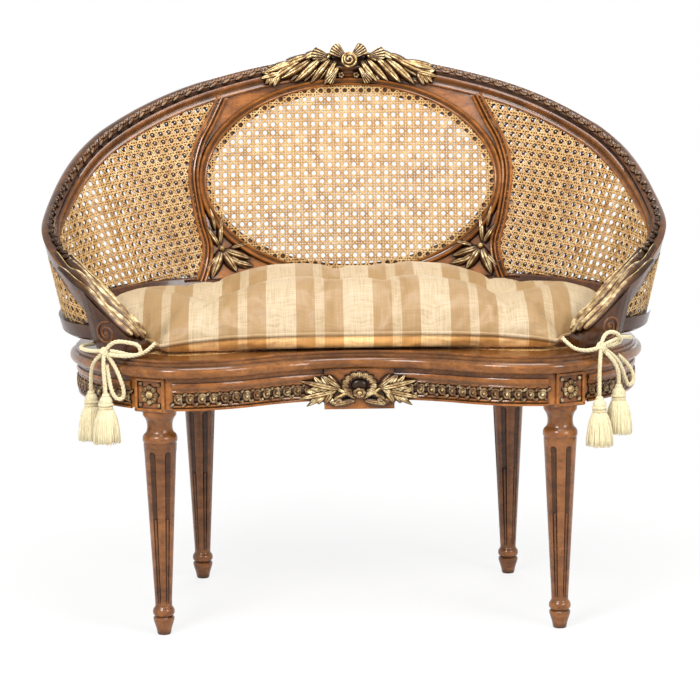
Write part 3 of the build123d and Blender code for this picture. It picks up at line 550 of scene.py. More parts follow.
# Tie cords: the routes of the solids, as smooth lines
CORDS = {
    "left": {
        "knot": (-.387, -.234, .439),
        "loop": [(-.387, -.234, .439), (-.381, -.237, .449), (-.369, -.239, .456), (-.352, -.240, .454),
                 (-.334, -.241, .450), (-.331, -.242, .435), (-.347, -.242, .434), (-.364, -.241, .439),
                 (-.378, -.238, .441)],
        "hanging_loop": [(-.387, -.234, .439), (-.378, -.241, .429), (-.369, -.246, .414), (-.363, -.249, .399),
                         (-.358, -.251, .384), (-.359, -.251, .369), (-.371, -.250, .369), (-.378, -.247, .384),
                         (-.381, -.243, .402), (-.384, -.240, .420)],
        "tie_front": [(-.311, -.222, .449), (-.323, -.237, .438), (-.341, -.247, .434), (-.360, -.249, .434),
                      (-.380, -.241, .436)],
        "tie_rear": [(-.387, -.119, .441), (-.404, -.131, .438), (-.423, -.148, .438), (-.430, -.173, .438),
                     (-.422, -.198, .438), (-.407, -.217, .438), (-.391, -.229, .440)],
        "end_front": [(-.388, -.238, .435), (-.389, -.245, .422), (-.388, -.247, .406), (-.387, -.248, .390),
                      (-.386, -.248, .374)],
        "end_rear": [(-.391, -.233, .436), (-.402, -.226, .427), (-.409, -.218, .412), (-.411, -.213, .392),
                     (-.411, -.212, .373)],
    },
    "right": {
        "knot": (.367, -.250, .439),
        "loop": [(.367, -.250, .439), (.369, -.244, .450), (.378, -.236, .459), (.391, -.228, .458),
                 (.401, -.221, .449), (.402, -.209, .441), (.391, -.212, .435), (.380, -.224, .436),
                 (.372, -.238, .438)],
        "hanging_loop": [(.367, -.250, .439), (.380, -.242, .429), (.393, -.233, .417), (.402, -.225, .402),
                         (.408, -.220, .384), (.414, -.214, .371), (.424, -.205, .379), (.421, -.203, .394),
                         (.411, -.209, .408), (.397, -.220, .421)],
        "tie_front": [(.311, -.222, .449), (.322, -.238, .437), (.336, -.249, .433), (.352, -.254, .434),
                      (.364, -.252, .438)],
        "tie_rear": [(.387, -.119, .441), (.404, -.131, .438), (.422, -.149, .439), (.424, -.173, .441),
                     (.414, -.198, .446), (.398, -.219, .448), (.383, -.236, .444), (.371, -.246, .441)],
        "end_front": [(.366, -.253, .435), (.364, -.260, .420), (.363, -.261, .401), (.363, -.262, .381),
                      (.363, -.262, .361)],
        "end_rear": [(.370, -.250, .434), (.381, -.249, .423), (.391, -.243, .409), (.396, -.237, .393),
                     (.396, -.235, .375)],
    },
}
CORD_RADIUS = .0032


def spline_points(route):
    """Points of the smooth spline that has a route's points as its control points."""
    data = bpy.data.curves.new("route", "CURVE")
    data.dimensions = "3D"
    data.resolution_u = 12
    line = data.splines.new("NURBS")
    line.points.add(len(route) - 1)
    for point, place in zip(line.points, route):
        point.co = (*place, 1)
    line.order_u = 3
    line.use_endpoint_u = True
    holder = bpy.data.objects.new("route", data)
    scene.collection.objects.link(holder)
    mesh = bpy.data.meshes.new_from_object(holder)
    points = [v.co.copy() for v in mesh.vertices]
    bpy.data.objects.remove(holder)
    bpy.data.curves.remove(data)
    bpy.data.meshes.remove(mesh)
    return resample(points, .0016)


def rope(shape, points, radius, lay=.0165, strands=3, sides=8):
    """Twisted strands along a line; relief is high on their outer sides."""
    distances, turned = travelled(points), frames(points)
    for k in range(strands):
        line = []
        for p, at, (_, side, up) in zip(points, distances, turned):
            turn = 2 * math.pi * (at / lay + k / strands)
            line.append(p + (side * math.cos(turn) + up * math.sin(turn)) * radius * .53)
        verts, faces = tube(line, radius * .50, sides)
        outer = [clamp(((v - points[min(i // sides, len(points) - 1)]).length / radius - .62) / .30)
                 for i, v in enumerate(verts)]
        shape.add(verts, faces, outer)


TASSEL_HEAD = [(.0030, .001), (.0062, -.002), (.0090, -.006), (.0098, -.010), (.0092, -.014), (.0080, -.018),
               (.0078, -.0205)]
TASSEL_CORE = [(.0070, -.019), (.0125, -.030), (.0160, -.046), (.0175, -.064), (.0172, -.071)]
TASSEL_THREAD = [(.0076, -.0185), (.0118, -.026), (.0152, -.036), (.0176, -.049), (.0190, -.062),
                 (.0196, -.0735)]


def tassel(name, top):
    """Tassel: wound head, two rope rings and a skirt of fine cords."""
    head, skirt = Shape(), Shape()
    wound, threads = 60, 88
    rows = []
    for r, z in TASSEL_HEAD:
        rows.append([top + Vector(((r + .0005 * (j % 2)) * math.cos(2 * math.pi * j / wound),
                                   (r + .0005 * (j % 2)) * math.sin(2 * math.pi * j / wound), z))
                     for j in range(wound)])
    head.add(*rings(rows))
    for z, r in ((-.0140, .0096), (-.0185, .0090)):
        rope(head, [top + p for p in circle(r, 60, z, 1)], .0022, lay=.008, sides=6)
    knob = [top + Vector((0, 0, .0035 - .0018 * k)) for k in range(4)]
    head.add(*tube(knob, [.0042, .0056, .0060, .0050], 12))
    skirt.add(*rings([[top + p for p in circle(r, 28, z)] for r, z in TASSEL_CORE]))
    for k in range(threads):
        turn = 2 * math.pi * (k + random.uniform(-.3, .3)) / threads
        out = random.uniform(.93, 1.06)
        drop = random.uniform(.968, 1.0)
        sway = random.uniform(-.05, .05)
        line = []
        for r, z in TASSEL_THREAD:
            at = turn + sway * (-z / .07)
            line.append(top + Vector((r * out * math.cos(at), r * out * math.sin(at), z * drop)))
        skirt.add(*tube(line, [.0010, .0011, .0012, .0012, .0012, .0009], 5))
    pieces = head.piece(f"{name}_head", ROPE, slot="cord"), skirt.piece(f"{name}_skirt", FRINGE, slot="cord")
    for piece in pieces:
        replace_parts(piece, name)
    return list(pieces)


def knot(name, centre):
    """Round overhand knot of the same rope."""
    shape = Shape()
    for tilt, turn, size in ((.5, .2, .0052), (1.3, 2.0, .0050), (2.2, 4.1, .0050)):
        ring = []
        for j in range(41):
            at = 2 * math.pi * j / 40
            p = Vector((math.cos(at) * size, math.sin(at) * size, .0012 * math.sin(2 * at)))
            p.rotate(Matrix.Rotation(tilt, 3, "X"))
            p.rotate(Matrix.Rotation(turn, 3, "Z"))
            ring.append(centre + p)
        rope(shape, ring, .0030, sides=6)
    shape.add(*ball(centre, .0045))
    return shape.piece(name, ROPE, slot="cord")


def ties():
    for side, routes in CORDS.items():
        bow = f"tie_bow_{side}"
        knot_piece = knot(f"tie_knot_{side}", Vector(routes["knot"]))
        tassels = {end: tassel(f"tassel_{end}_{side}", Vector(routes[f"end_{end}"][-1]))
                   for end in ("front", "rear")}
        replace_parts(knot_piece, bow)
        cords = {"tie_front": (f"tie_cord_front_{side}", "knot", "loose", [knot_piece]),
                 "tie_rear": (f"tie_cord_rear_{side}", "knot", "loose", []),
                 "loop": (f"bow_loop_{side}", "knot", "loose", []),
                 "hanging_loop": (f"bow_hanging_loop_{side}", "knot", "hanging", []),
                 "end_front": (f"tassel_cord_front_{side}", "fitting", "hanging", tassels["front"]),
                 "end_rear": (f"tassel_cord_rear_{side}", "fitting", "hanging", tassels["rear"])}
        for name, (label, far_end, lay, carried) in cords.items():
            points = spline_points(routes[name])
            shape = Shape()
            rope(shape, points, CORD_RADIUS)
            crosses_joint = name == "tie_rear"
            piece = shape.piece(label + "_rope", ROPE, None if crosses_joint else "root", "cord")
            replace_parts(piece, bow if "loop" in name else label)
            if crosses_joint:
                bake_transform(piece)


ties()


# Cushion
TUFTS = ((-.212, -.030), (.002, -.030), (.212, -.030))
RINGS = [(.040, .0010, 0), (.014, .0010, 0), (.005, .003, .25), (.001, 0, .65), (.0005, 0, 1.0),
         (.006, .011, 1.0), (.020, .028, 1.0), (.044, .044, 1.0), (.080, .052, 1.0), (.125, .054, 1.0)]
VOXEL, SEAM_HOLD, PUFF_LIMIT = .0055, .0075, .024
CLOTH = dict(vertex_group_mass="held", quality=6, mass=.3, tension_stiffness=18, compression_stiffness=8,
             shear_stiffness=6, bending_stiffness=.35, use_pressure=True, uniform_pressure_force=4.0,
             shrink_min=-.06)


def cushion_line(inset):
    """Closed plan line of the cushion, moved in."""
    c = .0327 + inset
    right = []
    for k in range(60):
        turn = math.radians(131 * k / 59)
        right.append(Vector(((BASKET_X - c) * math.sin(turn),
                             BASKET_BACK + (BASKET_Y - c) * math.cos(turn), 0)))
    corner = Vector((.305 - .7 * inset, -.215 + inset, 0))
    right += [right[59].lerp(corner, k / 31 * 2.2) for k in range(1, 13)]
    for j in range(31):
        t = j / 30
        right.append(Vector((corner.x * (1 - t), corner.y + .018 * (1 - (1 - t)**2), 0)))
    points = right + [Vector((-p.x, p.y, 0)) for p in reversed(right[1:-1])]
    line = resample(points + [points[0]], .006)[:-1]
    for _ in range(2):
        line = [(line[k - 1] + line[k] * 2 + line[(k + 1) % len(line)]) / 4 for k in range(len(line))]
    return line


def welt_height(p):
    """Height of the seam above the seat: lower towards the front corners."""
    front = clamp((-.10 - p.y) / .08)
    return .027 - front * .013 * min(1, abs(p.x) / .300)**4


def cushion():
    """Cover blown up as cloth between its seam, its underside and its tufts, with the welt round its seam."""
    edge = cushion_line(0)
    count = len(edge)
    seam = [Vector((p.x, p.y, SEAT + welt_height(p))) for p in edge]

    def ring(inset, height, of_welt):
        inner = cushion_line(inset)
        result = []
        for k in range(count):
            p = inner[round(k * len(inner) / count) % len(inner)]
            swell = .86 + .40 / (1 + (p.x / .195)**8)
            z = welt_height(edge[k]) * of_welt + height * swell
            result.append(Vector((p.x, p.y, SEAT + z)))
        return result

    shape = Shape()
    shape.add(*rings([ring(*numbers) for numbers in RINGS]))
    obj = shape.piece("seat_cushion_cover", SILK, body="cushion", slot="silk")
    obj.modifiers.new("remesh", "REMESH").voxel_size = VOXEL
    obj.modifiers["remesh"].mode = "VOXEL"
    apply_modifiers(obj)
    mesh = obj.data
    for v in mesh.vertices:
        if v.co.z > SEAT + .03:
            for tx, ty in TUFTS:
                d = math.hypot(v.co.x - tx, (v.co.y - ty) * 1.15)
                v.co.z -= .030 * math.exp(-(d / .040)**2) + .004 * math.exp(-(d / .11)**2)
    held = []
    for v in mesh.vertices:
        low = v.co.z < SEAT + .0035
        tuft = v.co.z > SEAT + .03 and any(math.hypot(v.co.x - x, v.co.y - y) < .011 for x, y in TUFTS)
        if low or tuft or min((v.co - p).length for p in seam[::2]) < SEAM_HOLD:
            held.append(v.index)
    obj.vertex_groups.new(name="held").add(held, 1.0, "REPLACE")
    before = [v.co.copy() for v in mesh.vertices]
    cloth = obj.modifiers.new("cloth", "CLOTH")
    for key, value in CLOTH.items():
        setattr(cloth.settings, key, value)
    cloth.settings.effector_weights.gravity = 0
    cloth.collision_settings.use_collision = False
    cloth.collision_settings.use_self_collision = False
    cloth.point_cache.frame_end = 24
    for step in range(1, 21):
        scene.frame_set(step)
    apply_modifiers(obj)
    scene.frame_set(1)
    for v, start in zip(obj.data.vertices, before):
        move = v.co - start
        if move.length > PUFF_LIMIT:
            v.co = start + move * (PUFF_LIMIT / move.length)
        v.co.z = max(v.co.z, SEAT + .0008)
    obj.vertex_groups.clear()
    smoother = obj.modifiers.new("smooth", "SMOOTH")
    smoother.factor, smoother.iterations = .45, 5
    finer = obj.modifiers.new("finer", "SUBSURF")
    finer.levels = finer.render_levels = 1
    apply_modifiers(obj)
    mesh = obj.data
    # relief marks the cover below the welt, where the silk material paints light
    layer = mesh.attributes.get("relief") or mesh.attributes.new("relief", "FLOAT", "POINT")
    layer.data.foreach_set("value", [clamp((SEAT + welt_height(v.co) - v.co.z) / .006) for v in mesh.vertices])
    mesh.shade_smooth()
    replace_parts(obj, "seat_cushion")
    welt = Shape()
    line = [p + Vector((p.x, p.y, 0)).normalized() * .0022 for p in seam]
    welt.add(*toned(tube(line, .0034, 10, closed=True), 0.0))
    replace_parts(welt.piece("cushion_welt_cord", SILK, body="cushion", slot="silk"), "cushion_welt")


def apply_modifiers(obj):
    """Puts the shape that the modifiers give into the object's own mesh."""
    graph = bpy.context.evaluated_depsgraph_get()
    mesh = bpy.data.meshes.new_from_object(obj.evaluated_get(graph), depsgraph=graph)
    obj.modifiers.clear()
    obj.data = mesh


cushion()


# Cane
PITCH, PAIR, STRAND, THICKNESS = .0138, .0021, .00125, .0007
CANE_TILT = math.radians(8)


def strand(shape, line):
    """Flat strand with a rounded front along a line of (place, across, out) triples."""
    if len(line) < 2:
        return
    rows = []
    for place, across, out in line:
        rows.append([place - across * STRAND, place + out * THICKNESS, place + across * STRAND,
                     place - out * THICKNESS * .6])
    # relief 1 on the front, .6 on the edges, .1 on the back, which the cane material turns into painted shade
    shape.add(*rings(rows), [.6, 1.0, .6, .1] * len(rows))


def weave(shape, spot, inside, low, high):
    """Six-way cane over a panel: spot(u, v, lift) gives a place, inside(u, v) says where the panel is."""
    families = []
    for k in range(math.floor(low[0] / PITCH), math.ceil(high[0] / PITCH) + 1):
        for side in (-1, 1):
            families.append(((k * PITCH + side * PAIR, low[1]), (0, 1), high[1] - low[1], 0, side))
    for k in range(math.floor(low[1] / PITCH), math.ceil(high[1] / PITCH) + 1):
        for side in (-1, 1):
            families.append(((low[0], k * PITCH + side * PAIR), (1, 0), high[0] - low[0], 1, side))
    reach = high[1] - low[1]
    slope = math.sqrt(.5)
    base = math.floor(low[1] / PITCH) * PITCH
    for k in range(math.floor((low[0] - reach) / PITCH), math.ceil((high[0] + reach) / PITCH) + 1):
        for side in (-1, 1):
            families.append((((k + .5) * PITCH, base), (side * slope, slope), (reach + PITCH) / slope, 2, side))
    for (u0, v0), (du, dv), length, kind, side in families:
        line = []
        count = math.ceil(length / (PITCH / 2 * (1 if kind < 2 else math.sqrt(2))))
        for j in range(count + 1):
            u, v = u0 + du * length * j / count, v0 + dv * length * j / count
            if inside(u, v):
                lift = (.0004 * side * math.cos(math.pi * v / PITCH),
                        .0003 - .0004 * side * math.cos(math.pi * u / PITCH),
                        .0006 + .0006 * (side * math.cos(2 * math.pi * u / PITCH)))[kind]
                place = spot(u, v, lift)
                ahead = spot(u + du * .001, v + dv * .001, lift)
                out = (spot(u, v, lift + .001) - place).normalized()
                along = (ahead - place).normalized()
                line.append((place, along.cross(out).normalized(), out))
            elif line:
                strand(shape, line)
                line = []
        strand(shape, line)


def oval_cane():
    shape = Shape()
    half_x, half_z, centre = OVAL

    def spot(x, z, lift):
        return basket(angle_at(x, z), z, .0090 + lift)

    def inside(x, z):
        return (x / (half_x + .006))**2 + ((z - centre) / (half_z + .006))**2 < 1

    weave(shape, spot, inside, (-.26, centre - .17), (.26, centre + .17))
    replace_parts(shape.piece("oval_cane_weave", CANE, slot="cane"), "cane_oval")


ARC = travelled([basket(degree, .15) for degree in range(141)])
CANE_END = ARC[124]


def angle_along(run):
    """Plan angle at a run along the basket from the back centre."""
    for k in range(len(ARC) - 1):
        if run <= ARC[k + 1]:
            break
    return k + (run - ARC[k]) / (ARC[k + 1] - ARC[k])


def stile_x(height):
    """Sideways place of the stile's middle at a height."""
    return smooth([(h, x) for x, h in reversed(STILE)], max(.048, min(.409, height)))


def side_cane(side, inner):
    shape = Shape()
    sign = -1 if side == "left" else 1
    out = 1 if inner else -1
    tilt_cos, tilt_sin = math.cos(CANE_TILT), math.sin(CANE_TILT)

    def upright(u, v):
        return u * tilt_cos + v * tilt_sin, v * tilt_cos - u * tilt_sin

    def spot(u, v, lift):
        run, height = upright(u, v)
        place = basket(angle_along(run), height, out * (.0090 + lift))
        return Vector((sign * place.x, place.y, place.z))

    def inside(u, v):
        run, height = upright(u, v)
        if not 0 < run < CANE_END:
            return False
        angle = angle_along(run)
        top = rail_height(angle) - .014 * stretch(rail_height, angle)
        low = low_rail_height(angle) + .0125 * stretch(low_rail_height, angle)
        x = (BASKET_X + FLARE * height) * math.sin(math.radians(angle))
        return low < height < top and x > stile_x(height) + .003

    weave(shape, spot, inside, (.12, .05), (CANE_END, .52))
    name = f"cane_{'inner' if inner else 'outer'}_{side}"
    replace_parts(shape.piece(f"{name}_weave", CANE, slot="cane"), name)


def seat_weave():
    shape = Shape()
    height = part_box("seat_cane")[1][2] - .0014
    plan = [(p.x, p.y) for p in seat_line(.070)]

    def inside(x, y):
        result = False
        for (ax, ay), (bx, by) in zip(plan, plan[1:] + plan[:1]):
            if (ay > y) != (by > y) and x < (bx - ax) * (y - ay) / (by - ay) + ax:
                result = not result
        return result

    weave(shape, lambda x, y, lift: Vector((x, y, height + lift * .5)), inside, (-.40, -.24), (.40, .16))
    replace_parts(shape.piece("seat_cane_weave", CANE, slot="cane"), "seat_cane")


oval_cane()
for side in ("left", "right"):
    for inner in (True, False):
        side_cane(side, inner)
seat_weave()


# Moulded rails, oval frame and stiles
RAIL_SECTION = [(.0150, -.0150), (.0180, -.0110), (.0196, -.0040), (.0192, .0030), (.0172, .0085),
                (.0140, .0118), (.0060, .0136), (.0036, .0118), (.0022, .0114), (.0008, .0133),
                (-.0010, .0158), (-.0034, .0164), (-.0058, .0152), (-.0080, .0124), (-.0106, .0104),
                (-.0132, .0104), (-.0146, .0116), (-.0166, .0122), (-.0186, .0110), (-.0190, .0085),
                (-.0190, -.0120), (-.0150, -.0155)]
# relief for each point of the section; the rail material darkens where it is low: painted shade in the groove
# under the carved band, and darker towards the outer edge
RAIL_SHADE_TONES = [.3, .5, .6, .6, .5, .3, .2, .1, .1, .3, .6, .75, .8, .85, .85, .9, 1.0, 1.0, 1.0, .9, .4, .3]


def rail_sweep(name, first, last, count):
    rows = []
    for k in range(count + 1):
        angle = first + (last - first) * k / count
        up, inward, _ = axes(angle)
        wide = stretch(rail_height, angle)
        middle = basket(angle, rail_height(angle))
        slim = 1 - .30 * clamp((abs(angle) - 50) / 30)
        thin = 1 - .36 * ease((abs(angle) - 50) / 34) * ease((124 - abs(angle)) / 20)
        rows.append([middle + up * (s * wide * (slim if s > 0 else 1)) + inward * (n * (thin if n < 0 else 1))
                     for s, n in RAIL_SECTION])
    shape = Shape()
    shape.add(*rings(rows), RAIL_SHADE_TONES * len(rows))
    shape.moulding(f"{name}_moulded", RAILING, name)


rail_sweep("crest_rail", -25, 25, 50)
rail_sweep("top_rail_right", 25, 119, 110)
rail_sweep("top_rail_left", -25, -119, 110)


def path_sweep(line, section, closed, flip=1):
    """Moulding along a front-view line of (x, height) on the basket; section is (across, inward)."""
    middle = [basket(angle_at(x, h), h) for x, h in line]
    rows = []
    count = len(line)
    for k, (x, h) in enumerate(line):
        inward = axes(angle_at(x, h))[1]
        before = middle[k - 1] if k or closed else middle[k]
        after = middle[(k + 1) % count] if k < count - 1 or closed else middle[k]
        across = (after - before).normalized().cross(inward).normalized() * flip
        rows.append([middle[k] + across * a + inward * n for a, n in section])
    return rings(rows, closed)


OVAL_SECTION = [(-.0070, -.0120), (-.0072, .0085), (-.0066, .0112), (-.0046, .0128), (-.0026, .0118),
                (-.0014, .0104), (.0002, .0108), (.0022, .0138), (.0044, .0146), (.0062, .0134),
                (.0072, .0100), (.0072, -.0120)]
OVAL_RABBET = [(-.0180, .0030), (-.0180, .0048), (-.0060, .0052), (-.0060, .0030)]
STILE_SECTION = [(-.0072, -.0140), (-.0072, .0080), (-.0060, .0116), (-.0036, .0132), (-.0012, .0118),
                 (0, .0100), (.0014, .0118), (.0030, .0146), (.0048, .0138), (.0060, .0104), (.0072, .0100),
                 (.0086, .0122), (.0112, .0128), (.0128, .0112), (.0130, .0070), (.0130, -.0140)]


def oval_frame():
    wide, tall = OVAL[0] + .007, OVAL[1] + .007
    turns = [2 * math.pi * k / 160 for k in range(160)]
    line = [(wide * math.cos(turn), OVAL[2] + tall * math.sin(turn)) for turn in turns]
    shape = Shape()
    shape.add(*path_sweep(line, OVAL_SECTION, True))
    shape.add(*path_sweep(line, OVAL_RABBET, True))
    shape.moulding("oval_frame_moulded", WALNUT,
                   "oval_frame_top", "oval_frame_bottom", "oval_frame_left", "oval_frame_right")


def stile(side):
    """Stile between the bottom rail and the rail."""
    sign = -1 if side == "left" else 1
    line = []
    for p in curve_through([Vector((x, h, 0)) for x, h in STILE], 10):
        angle = angle_at(p.x, p.y)
        if low_rail_height(angle) + .004 < p.y < rail_height(angle) - .017 * stretch(rail_height, angle):
            line.append((sign * p.x, p.y))
    shape = Shape()
    shape.add(*path_sweep(line, STILE_SECTION, False, flip=-sign))
    shape.moulding(f"stile_{side}_moulded", WALNUT, f"stile_{side}")


def bottom_bead(side):
    """Rounded lip of the bottom rail, where the cane goes into it."""
    sign = -1 if side == "left" else 1
    line = []
    for k in range(60):
        angle = 34 + (116 - 34) * k / 59
        height = low_rail_height(angle) + .0130 * stretch(low_rail_height, angle)
        line.append(basket(sign * angle, height, .0092))
    shape = Shape()
    shape.add(*toned(tube(line, .0034, 8), .35))
    shape.piece(f"bottom_rail_lip_{side}", RAILING)


oval_frame()
for side in ("left", "right"):
    stile(side)
    bottom_bead(side)


# Carving
def leaf(length, width, lobes=4, height=.006, notch=.22, pleats=0, stem=.3):
    """Lobed leaf along x with a vein, ribs and a flat back."""
    rows, relief = [], []
    across = [-1, -.8, -.55, -.28, -.1, .1, .28, .55, .8, 1]
    count = max(8, lobes * 6)
    for k in range(count + 1):
        u = k / count
        body = max(.04, math.sin(math.pi * min(1, .08 + .92 * u**.8))**.75) if u < 1 else .04
        body = body * (1 - (1 - stem) * max(0, 1 - u * 4))
        wave = abs(math.sin(math.pi * lobes * u))
        half = width / 2 * body * (1 - notch * (1 - wave)**2)
        top, bottom = [], []
        for v in across:
            ridge = (1 - v * v) * .75 * min(1, body * 1.4) + .25 * abs(v)**3
            ridge -= .55 * abs(v)**.7 * (1 - wave)**1.3 + .50 * math.exp(-(v / .14)**2) * (1 - .6 * u)
            ridge += .22 * math.cos(pleats * math.pi * v) if pleats else 0
            x = length * u + .16 * length * abs(v)**1.3 * (1 - u) * min(1, u * 4)
            top.append(Vector((x, v * half, height * (.25 + ridge))))
            bottom.append(Vector((x, v * half * .96, -.0025)))
            relief.append(clamp(.05 + .95 * ridge + .30 * abs(v)**4 * wave))
        rows.append(top + bottom[::-1])
        relief += [0.0] * len(across)
    return *rings(rows), relief


def blade(length, width, height=.006, bend=0.0, tip=0.0, count=10, gilt=.8):
    """Pointed leaf along x with a sunk midrib; bend curves it sideways, tip lifts its end, gilt gilds it."""
    rows, relief = [], []
    across = (-1, -.72, -.42, -.14, 0, .14, .42, .72, 1)
    swell = (0, .60, .95, .98, .80, .98, .95, .60, 0)
    # relief across the leaf: gilt on the ridges, painted shade in the sunk midrib and at the edges
    tones = (0, .35, .70, 1, .30, 1, .70, .35, 0)
    for k in range(count + 1):
        u = k / count
        half = width / 2 * max(.05, math.sin(math.pi * (.10 + .90 * u)**.95)**.62) if k < count else width * .04
        side, lift = bend * length * u * u, tip * length * u * u
        rise = height * (.5 + .5 * math.sin(math.pi * u**.8)) * (1 - .55 * u**3)
        top = [Vector((length * u, side + v * half, lift + rise * z)) for v, z in zip(across, swell)]
        bottom = [Vector((length * u, side + v * half, lift * .8 - .004)) for v in across[::-1]]
        rows.append(top + bottom)
        shine = .55 + .45 * math.sin(math.pi * (.15 + .7 * u))
        relief += [gilt * tone * shine for tone in tones] + [0.0] * len(across)
    return *rings(rows), relief


def spray(shape, place, length, width, pairs=2, height=.006, bend=0.0):
    """Leaf of pointed lobes: pairs of side lobes under a middle one."""
    for k in range(pairs):
        t = k / pairs
        start = Matrix.Translation((length * (.04 + .55 * t), 0, 0))
        reach = width * (.80 - .24 * t)
        for sign in (1, -1):
            turn = Matrix.Rotation(sign * math.radians(50 - 20 * t), 4, "Z")
            shape.add(*blade(reach, reach * .60, height * .85, gilt=.92), place=place @ start @ turn)
    middle = place @ Matrix.Translation((0, 0, height * .25))
    shape.add(*blade(length, width * .46, height, bend, gilt=.95), place=middle)


def fan(length, width, pleats=4, height=.008):
    """Pleated ribbon loop along x, widest at its far end."""
    rows, relief = [], []
    count, across = 8, [-1 + k / 8 for k in range(17)]
    for k in range(count + 1):
        u = k / count
        half = width / 2 * (.28 + .72 * u**.8) * (1 if k < count else .94)
        top, bottom = [], []
        for v in across:
            fold = .5 + .5 * math.cos(math.pi * pleats * v)
            x = length * u * (1 - .16 * v * v * u)
            top.append(Vector((x, v * half, height * (.45 + .35 * math.sin(math.pi * u) + .35 * fold * u))))
            bottom.append(Vector((x, v * half, -.004)))
            relief.append(.25 + .70 * fold * (.5 + .5 * u))
        rows.append(top + bottom[::-1])
        relief += [0.0] * len(across)
    return *rings(rows), relief


def on_back(x, height, turn, inward):
    """Placing on the back: turn is the leaf's direction in the front view, in degrees."""
    angle = angle_at(x, height)
    up, normal, along = axes(angle)
    a = math.radians(turn)
    return placed(basket(angle, height, inward), along * math.cos(a) + up * math.sin(a), normal)


def mirrored_pair(shape, place_of, items):
    """Adds each leaf and its mirror image; an item is (x, height, turn, inward, leaf arguments)."""
    for x, height, turn, inward, arguments in items:
        for sign in (1, -1):
            place = place_of(sign * x, height, turn if sign > 0 else 180 - turn, inward)
            if "pairs" in arguments:
                spray(shape, place, **arguments)
            elif "lobes" in arguments:
                shape.add(*leaf(**arguments), place=place)
            elif "pleats" in arguments:
                shape.add(*fan(**arguments), place=place)
            else:
                shape.add(*blade(**arguments), place=place)


CREST_LOBES = [(.0224, .4265, .0447, .3920, .0115), (.0332, .4300, .0654, .3938, .0120),
               (.0482, .4330, .0894, .3938, .0135), (.0670, .4300, .1150, .3955, .0135),
               (.0817, .4316, .1410, .3996, .0135), (.0963, .4265, .1470, .4110, .0115),
               (.0516, .4445, .0817, .4300, .0120), (.0705, .4385, .1118, .4200, .0120),
               (.1000, .4270, .1420, .4150, .0110), (.0300, .4400, .0560, .4250, .0110),
               (.0180, .4180, .0300, .3980, .0090)]


def crest():
    shape = Shape()
    items = []
    for k, (x0, h0, x1, h1, width) in enumerate(CREST_LOBES):
        lobe = dict(length=math.hypot(x1 - x0, h1 - h0) * 1.05, width=width * 1.42, height=.0095,
                    bend=.10 - .07 * (k % 4), gilt=.92)
        items.append((x0, h0, math.degrees(math.atan2(h1 - h0, x1 - x0)), .0145 + .0010 * (k % 3), lobe))
    for (x0, h0, x1, h1, width), (x2, h2, x3, h3, _) in zip(CREST_LOBES[:5], CREST_LOBES[1:6]):
        turn = math.degrees(math.atan2(h1 + h3 - h0 - h2, x1 + x3 - x0 - x2))
        length = math.hypot(x1 + x3 - x0 - x2, h1 + h3 - h0 - h2) / 2
        lobe = dict(length=length, width=width * 1.15, height=.0070)
        items.append(((x0 + x2) / 2, (h0 + h2) / 2, turn, .0125, lobe))
    items += [
        (.118, .4090, -14, .0150, dict(length=.036, width=.030, pairs=3, height=.006)),
        (.036, .4350, 14, .0190, dict(length=.028, width=.022, height=.009, pleats=4)),
        (.0070, .4340, 38, .0200, dict(length=.027, width=.026, height=.009, pleats=5)),
        (.0220, .4100, -52, .0180, dict(length=.024, width=.017, height=.007, pleats=4)),
    ]
    mirrored_pair(shape, on_back, items)
    centre = on_back(.001, .4285, 0, .026)
    shape.add(*toned(ball(ORIGIN, .0125, (1, 1, .55), 20, 8), .35), place=centre)
    shape.add(*toned(tube(spiral(.0105, .0085, 0, 10, 44, .004, .004), .0014, 6), .95), place=centre)
    shape.add(*toned(tube(circle(.0118, 32, .003, 1), .0018, 6), .95), place=centre)
    for x in (.013, -.013):
        for k in range(5):
            shape.add(*leaf(.0065, .0050, 1, .004), place=on_back(x, .404, 72 * k, .017))
    shape.piece("crest_carving", CARVED)


def rail_bands():
    shape = Shape()
    unit = blade(.0170, .0074, .0012, bend=.12, count=6)
    small = blade(.0095, .0050, .0010, count=5)
    for sign in (1, -1):
        angle, flip = 16.0, 1
        while angle < 114:
            up, inward, _ = axes(sign * angle)
            here = basket(sign * angle, rail_height(angle))
            ahead = basket(sign * (angle + 1), rail_height(angle + 1))
            run = (ahead - here).normalized()
            wide = stretch(rail_height, sign * angle)
            across = run.cross(inward).normalized() * (-sign)
            turned = clamp((angle - 50) / 40)
            origin = here + up * ((.0104 + .0020 * turned) * wide) + inward * (.0124 - .0072 * turned)
            facing = inward * (.90 - .55 * turned) + up * (.42 + .55 * turned)
            shape.add(*unit, place=placed(origin - run * .007, run + across * .30 * flip, facing))
            for shift in (-.0048, .0048):
                leaning = run + across * (.8 if shift < 0 else -.8)
                shape.add(*small, place=placed(origin + across * shift - run * .004, leaning, facing))
            angle += .0118 / (ahead - here).length
            flip = -flip
    shape.piece("rail_carved_band", BAND)


TERMINAL_TOP = [(98, .150), (110, .124), (118, .106), (125, .068), (131, .033), (134, .012)]


ARM_STRANDS = [(-.013, 108, 131.5, .002, .0062), (-.003, 103, 132.2, -.001, .0070),
               (.008, 100, 132.4, -.001, .0072), (.018, 104, 132.0, .004, .0066),
               (.0205, 110, 131.6, .016, .0058), (.0205, 116, 131.2, .029, .0050)]
ARM_LEAVES = [(108, .112, -50, .034), (114, .092, -55, .032), (120, .064, -58, .028)]


